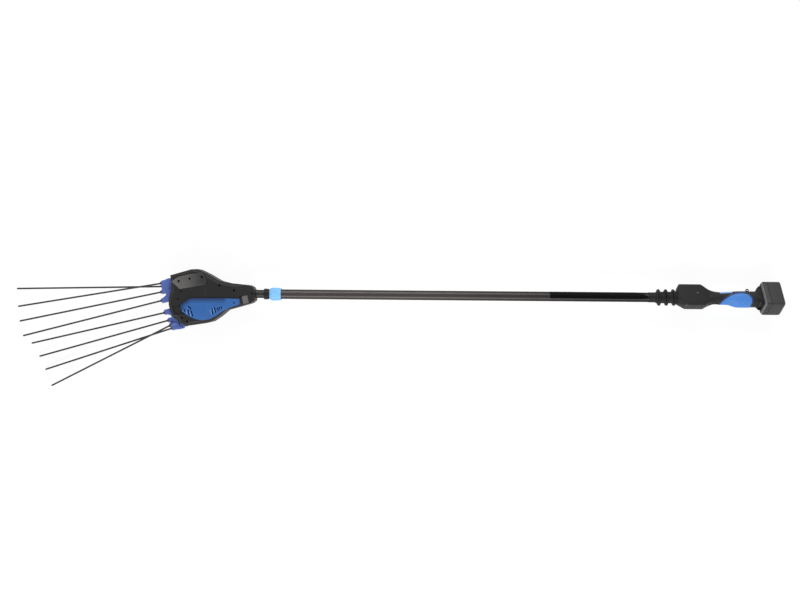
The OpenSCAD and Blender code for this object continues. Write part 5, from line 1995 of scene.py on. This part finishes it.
@dataclass
class Battery:
    """The slide-on battery pack: its dock, its case in two parts and its latch."""

    grip_end: float = 230.0
    dock_face: float = 244.0
    dock_half: Point2 = (30.0, 22.0)
    face: float = 244.3
    split: float = 262.3
    end: float = 302.3
    half_width: float = 41.0
    half_height: float = 30.5
    corner: float = 7.0
    head_half: float = 17.0
    stem_half: float = 12.0
    tongue_span: Point2 = (-24.0, 27.0)
    slide_gap: float = 0.3
    blade_height: float = 6.0
    latch: tuple[float, float, float] = (251.3, 259.7, 11.7)
    latch_gap: float = 0.4
    latch_window: float = 5.5
    latch_depth: float = 3.0
    latch_edge: float = 0.7
    ribs: Sequence[Point2] = ((1.3, 2.5), (3.2, 5.0))
    bevel_start: Point2 = (0.6, 5.2)
    bevel_slope: float = 0.96

    def cased(self, rows: Iterable[tuple[float, float, float]]) -> Mesh:
        """Skins rings of the case's outline.

        Args:
            rows: For each ring its place, how far it is set in, and what its corners lose.

        Returns:
            A closed mesh.
        """
        w, h, c = self.half_width, self.half_height, self.corner
        return ringed([(x, w - inset, h - inset, c - less) for x, inset, less in rows])

    def dock(self) -> Mesh:
        """Shapes the dock on the end of the grip.

        Returns:
            The mesh, with the slot that the pack's tongue runs in.
        """
        (w, h), foot, face, gap = self.dock_half, self.grip_end, self.dock_face, self.slide_gap
        bm = ringed((
            (foot, 23.0, 23.0, 21.9, -2.7, -1.9), (foot + 5.0, 25.0, 22.5, 14.0, -1.4, -1.0),
            (foot + 9.0, w, h, 6.0), (face - 0.8, w, h, 6.0), (face, w - 0.8, h - 0.8, 5.4),
        ))
        end = self.tongue_span[1] + gap
        for x0, x1, half in (
            (face - 9.3, face - 3.7, self.head_half + gap),
            (face - 4.0, face + 16.0, self.stem_half + gap),
        ):
            bm = carved(bm, block((x0, -FAR, -half), (x1, end, half)))
        return bm

    def tongue(self) -> Mesh:
        """Shapes the tee-shaped tongue that slides into the dock.

        Returns:
            The mesh, with slots for the contact blades.
        """
        (low, high), face = self.tongue_span, self.dock_face
        wide, slim = self.head_half, self.stem_half
        head = block((face - 9.0, low, -wide), (face - 4.0, high, wide), 0.4, 1)
        stem = block((face - 4.5, low, -slim), (self.face + 2.0, high, slim))
        slots = [
            block((face - 10.0, -6.0, z - 1.0), (face - 2.7, FAR, z + 1.0))
            for z in (-self.blade_height, self.blade_height)
        ]
        return joined(carved(head, *slots), stem)

    def case_dock(self) -> Mesh:
        """Shapes the part of the case that meets the dock.

        Returns:
            The mesh, with the latch's window.
        """
        face, split, gap = self.face, self.split, self.latch_gap
        bm = self.cased((
            (face, 6.8, 3.0), (face + 0.6, 6.0, 2.4), (face + 6.0, 0.8, 0.0),
            (face + 7.4, 0.0, 0.0), (split - 0.7, 0.0, 0.0), (split, 0.7, 0.5),
        ))
        x0, x1, half = self.latch
        floor = self.latch_window - self.half_width
        window = block((x0 - gap, -FAR, -half - gap), (x1 + gap, floor, half + gap))
        return joined(carved(bm, window), self.tongue())

    def front_highlight_ribs(self) -> Mesh:
        """Shapes the pale ribs round the bevel of the case that faces the grip; their pale grey
        paints the highlight along that bevel.

        Returns:
            The mesh.
        """
        at, inset = self.bevel_start
        ribs = []
        for start, end in self.ribs:
            first, last = (inset - self.bevel_slope * (x - at) for x in (start, end))
            low, high = self.face + start, self.face + end
            ribs.append(self.cased((
                (low, first + 0.4, 2.6), (low + 0.2, first, 2.2), (high - 0.2, last, 1.2),
                (high, last + 0.4, 1.6),
            )))
        return joined(*ribs)

    def case_end(self) -> Mesh:
        """The outer part of the case, with a groove where it meets the dock part."""
        split, end = self.split, self.end
        return self.cased((
            (split, 0.9, 0.6), (split + 0.6, 0.9, 0.6), (split + 1.3, 0.0, 0.0),
            (end - 5.2, 0.0, 0.0), (end - 4.0, 0.3, 0.0), (end - 1.4, 1.9, 0.0),
            (end - 0.4, 3.0, 0.0), (end, 4.4, 0.8),
        ))

    def latch_key(self) -> Mesh:
        """The latch's key, flush with the case."""
        x0, x1, half = self.latch
        low, high = -self.half_width, self.latch_depth - self.half_width
        return block((x0, low, -half), (x1, high, half), self.latch_edge)

    def build(self, shop: Workshop) -> None:
        """Builds and dresses the pack.

        Args:
            shop: Where the pieces are finished.
        """
        case = Finishes.BATTERY
        for name, bm, finish, body, nodes in (
            # The dock's near-black paints the shade in its recess and slots.
            ("battery_dock_slotted", self.dock(), Finishes.DOCK_SHADE_BLACK, "pole_handle", ("battery_dock",)),
            ("battery_case_front", self.case_dock(), case, "battery", ("battery_case_dock",)),
            # The pale ribs paint the highlight along the case's front bevel.
            ("battery_front_highlight_ribs", self.front_highlight_ribs(), Finishes.BEVEL_HIGHLIGHT, "battery", ()),
            ("battery_case_back", self.case_end(), case, "battery", ("battery_case_end",)),
            ("battery_latch_key", self.latch_key(), case, "latch", ("battery_latch",)),
        ):
            shop.place(name, bm, finish, body, Place.GRIP, nodes)


@dataclass
class Studio:
    """Floor, light and the camera straight above."""

    floor_level: float = -0.0505
    floor_reach: float = 6.0
    floor_grey: float = 0.8
    shadow_grey: float = 0.16
    glow: float = 0.88
    camera_at: Sequence[float] = (0.0001, -0.0141, 2.8)
    camera_roll: float = 0.502
    sensor: float = 36.0
    view_width: float = 2.3336
    near_power: float = 54.0
    far_power: float = 50.0
    lamp_size: Point2 = (3.4, 0.9)
    lamp_out: float = 2.1
    lamp_up: float = 1.35
    world_strength: float = 0.36

    @staticmethod
    def shown(graph: Graph) -> Socket:
        """Wires a value that is 1 for the rays that show the backdrop.

        Args:
            graph: The tree that is wired.

        Returns:
            The value.
        """
        path = graph.node("ShaderNodeLightPath").outputs
        both = graph.math("MAXIMUM", path["Is Camera Ray"], path["Is Glossy Ray"])
        return graph.math("MAXIMUM", both, path["Is Transmission Ray"])

    def floor(self) -> None:
        """A wide pale floor that keeps a soft shadow."""
        bm = bmesh.new()
        bmesh.ops.create_grid(
            bm, x_segments=2, y_segments=2, size=self.floor_reach,
            matrix=shift(0.0, 0.0, self.floor_level),
        )
        material = bpy.data.materials.new("studio_floor_white")
        material.use_nodes = True
        material.node_tree.nodes.clear()
        graph = Graph(material.node_tree)
        plain, faint = (
            graph.node("ShaderNodeBsdfDiffuse", {"Color": (grey, grey, grey, 1.0)}).outputs[0]
            for grey in (self.floor_grey, self.shadow_grey)
        )
        white = {"Color": (1.0, 1.0, 1.0, 1.0), "Strength": self.glow}
        glow = graph.node("ShaderNodeEmission", white).outputs[0]
        both = graph.node("ShaderNodeAddShader", {0: faint, 1: glow}).outputs[0]
        choice = {0: self.shown(graph), 1: plain, 2: both}
        mixed = graph.node("ShaderNodeMixShader", choice).outputs[0]
        graph.node("ShaderNodeOutputMaterial", {"Surface": mixed})
        floor = shelved(bm, "studio_floor")
        floor.data.materials.append(material)

    def lights(self) -> None:
        """Two long soft boxes beside the pole and an even world."""
        for name, side, power in (
            ("soft_box_far", 1.0, self.far_power), ("soft_box_near", -1.0, self.near_power),
        ):
            lamp = bpy.data.lights.new(name, "AREA")
            lamp.shape = "RECTANGLE"
            lamp.size, lamp.size_y = self.lamp_size
            lamp.energy = power
            light = bpy.data.objects.new(name, lamp)
            light.location = (0.0, side * self.lamp_out, self.lamp_up)
            light.rotation_euler = (-side * math.atan2(self.lamp_out, self.lamp_up), 0.0, 0.0)
            bpy.context.scene.collection.objects.link(light)
        world = bpy.data.worlds.new("studio_world")
        world.use_nodes = True
        graph = Graph(world.node_tree)
        graph.wire(world.node_tree.nodes["Background"].inputs, {
            "Color": (1.0, 1.0, 1.0, 1.0),
            "Strength": graph.ramp(self.shown(graph), 0.0, 1.0, self.world_strength, 1.0),
        })
        bpy.context.scene.world = world

    def camera(self) -> None:
        """The camera at the picture's viewpoint."""
        lens = bpy.data.cameras.new("picture_camera")
        lens.sensor_width = self.sensor
        lens.lens = self.sensor * self.camera_at[2] / self.view_width
        eye = bpy.data.objects.new("picture_camera", lens)
        eye.location = self.camera_at
        eye.rotation_euler = (0.0, 0.0, math.radians(self.camera_roll))
        bpy.context.scene.collection.objects.link(eye)
        bpy.context.scene.camera = eye

    def build(self) -> None:
        """Sets up the whole studio."""
        self.camera()
        self.floor()
        self.lights()
        bpy.context.scene.view_settings.view_transform = "Standard"


def main() -> None:
    """Builds every sub-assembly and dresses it."""
    logging.basicConfig(level=logging.INFO, format="%(name)s %(message)s")
    shop = Workshop()
    Studio().build()
    shop.carry_over()
    for assembly in (HeadShells(), Covers(), Combs(), PoleFittings(), Handle(), Battery()):
        LOG.info("building %s", type(assembly).__name__)
        assembly.build(shop)


if __name__ == "__main__":
    main()
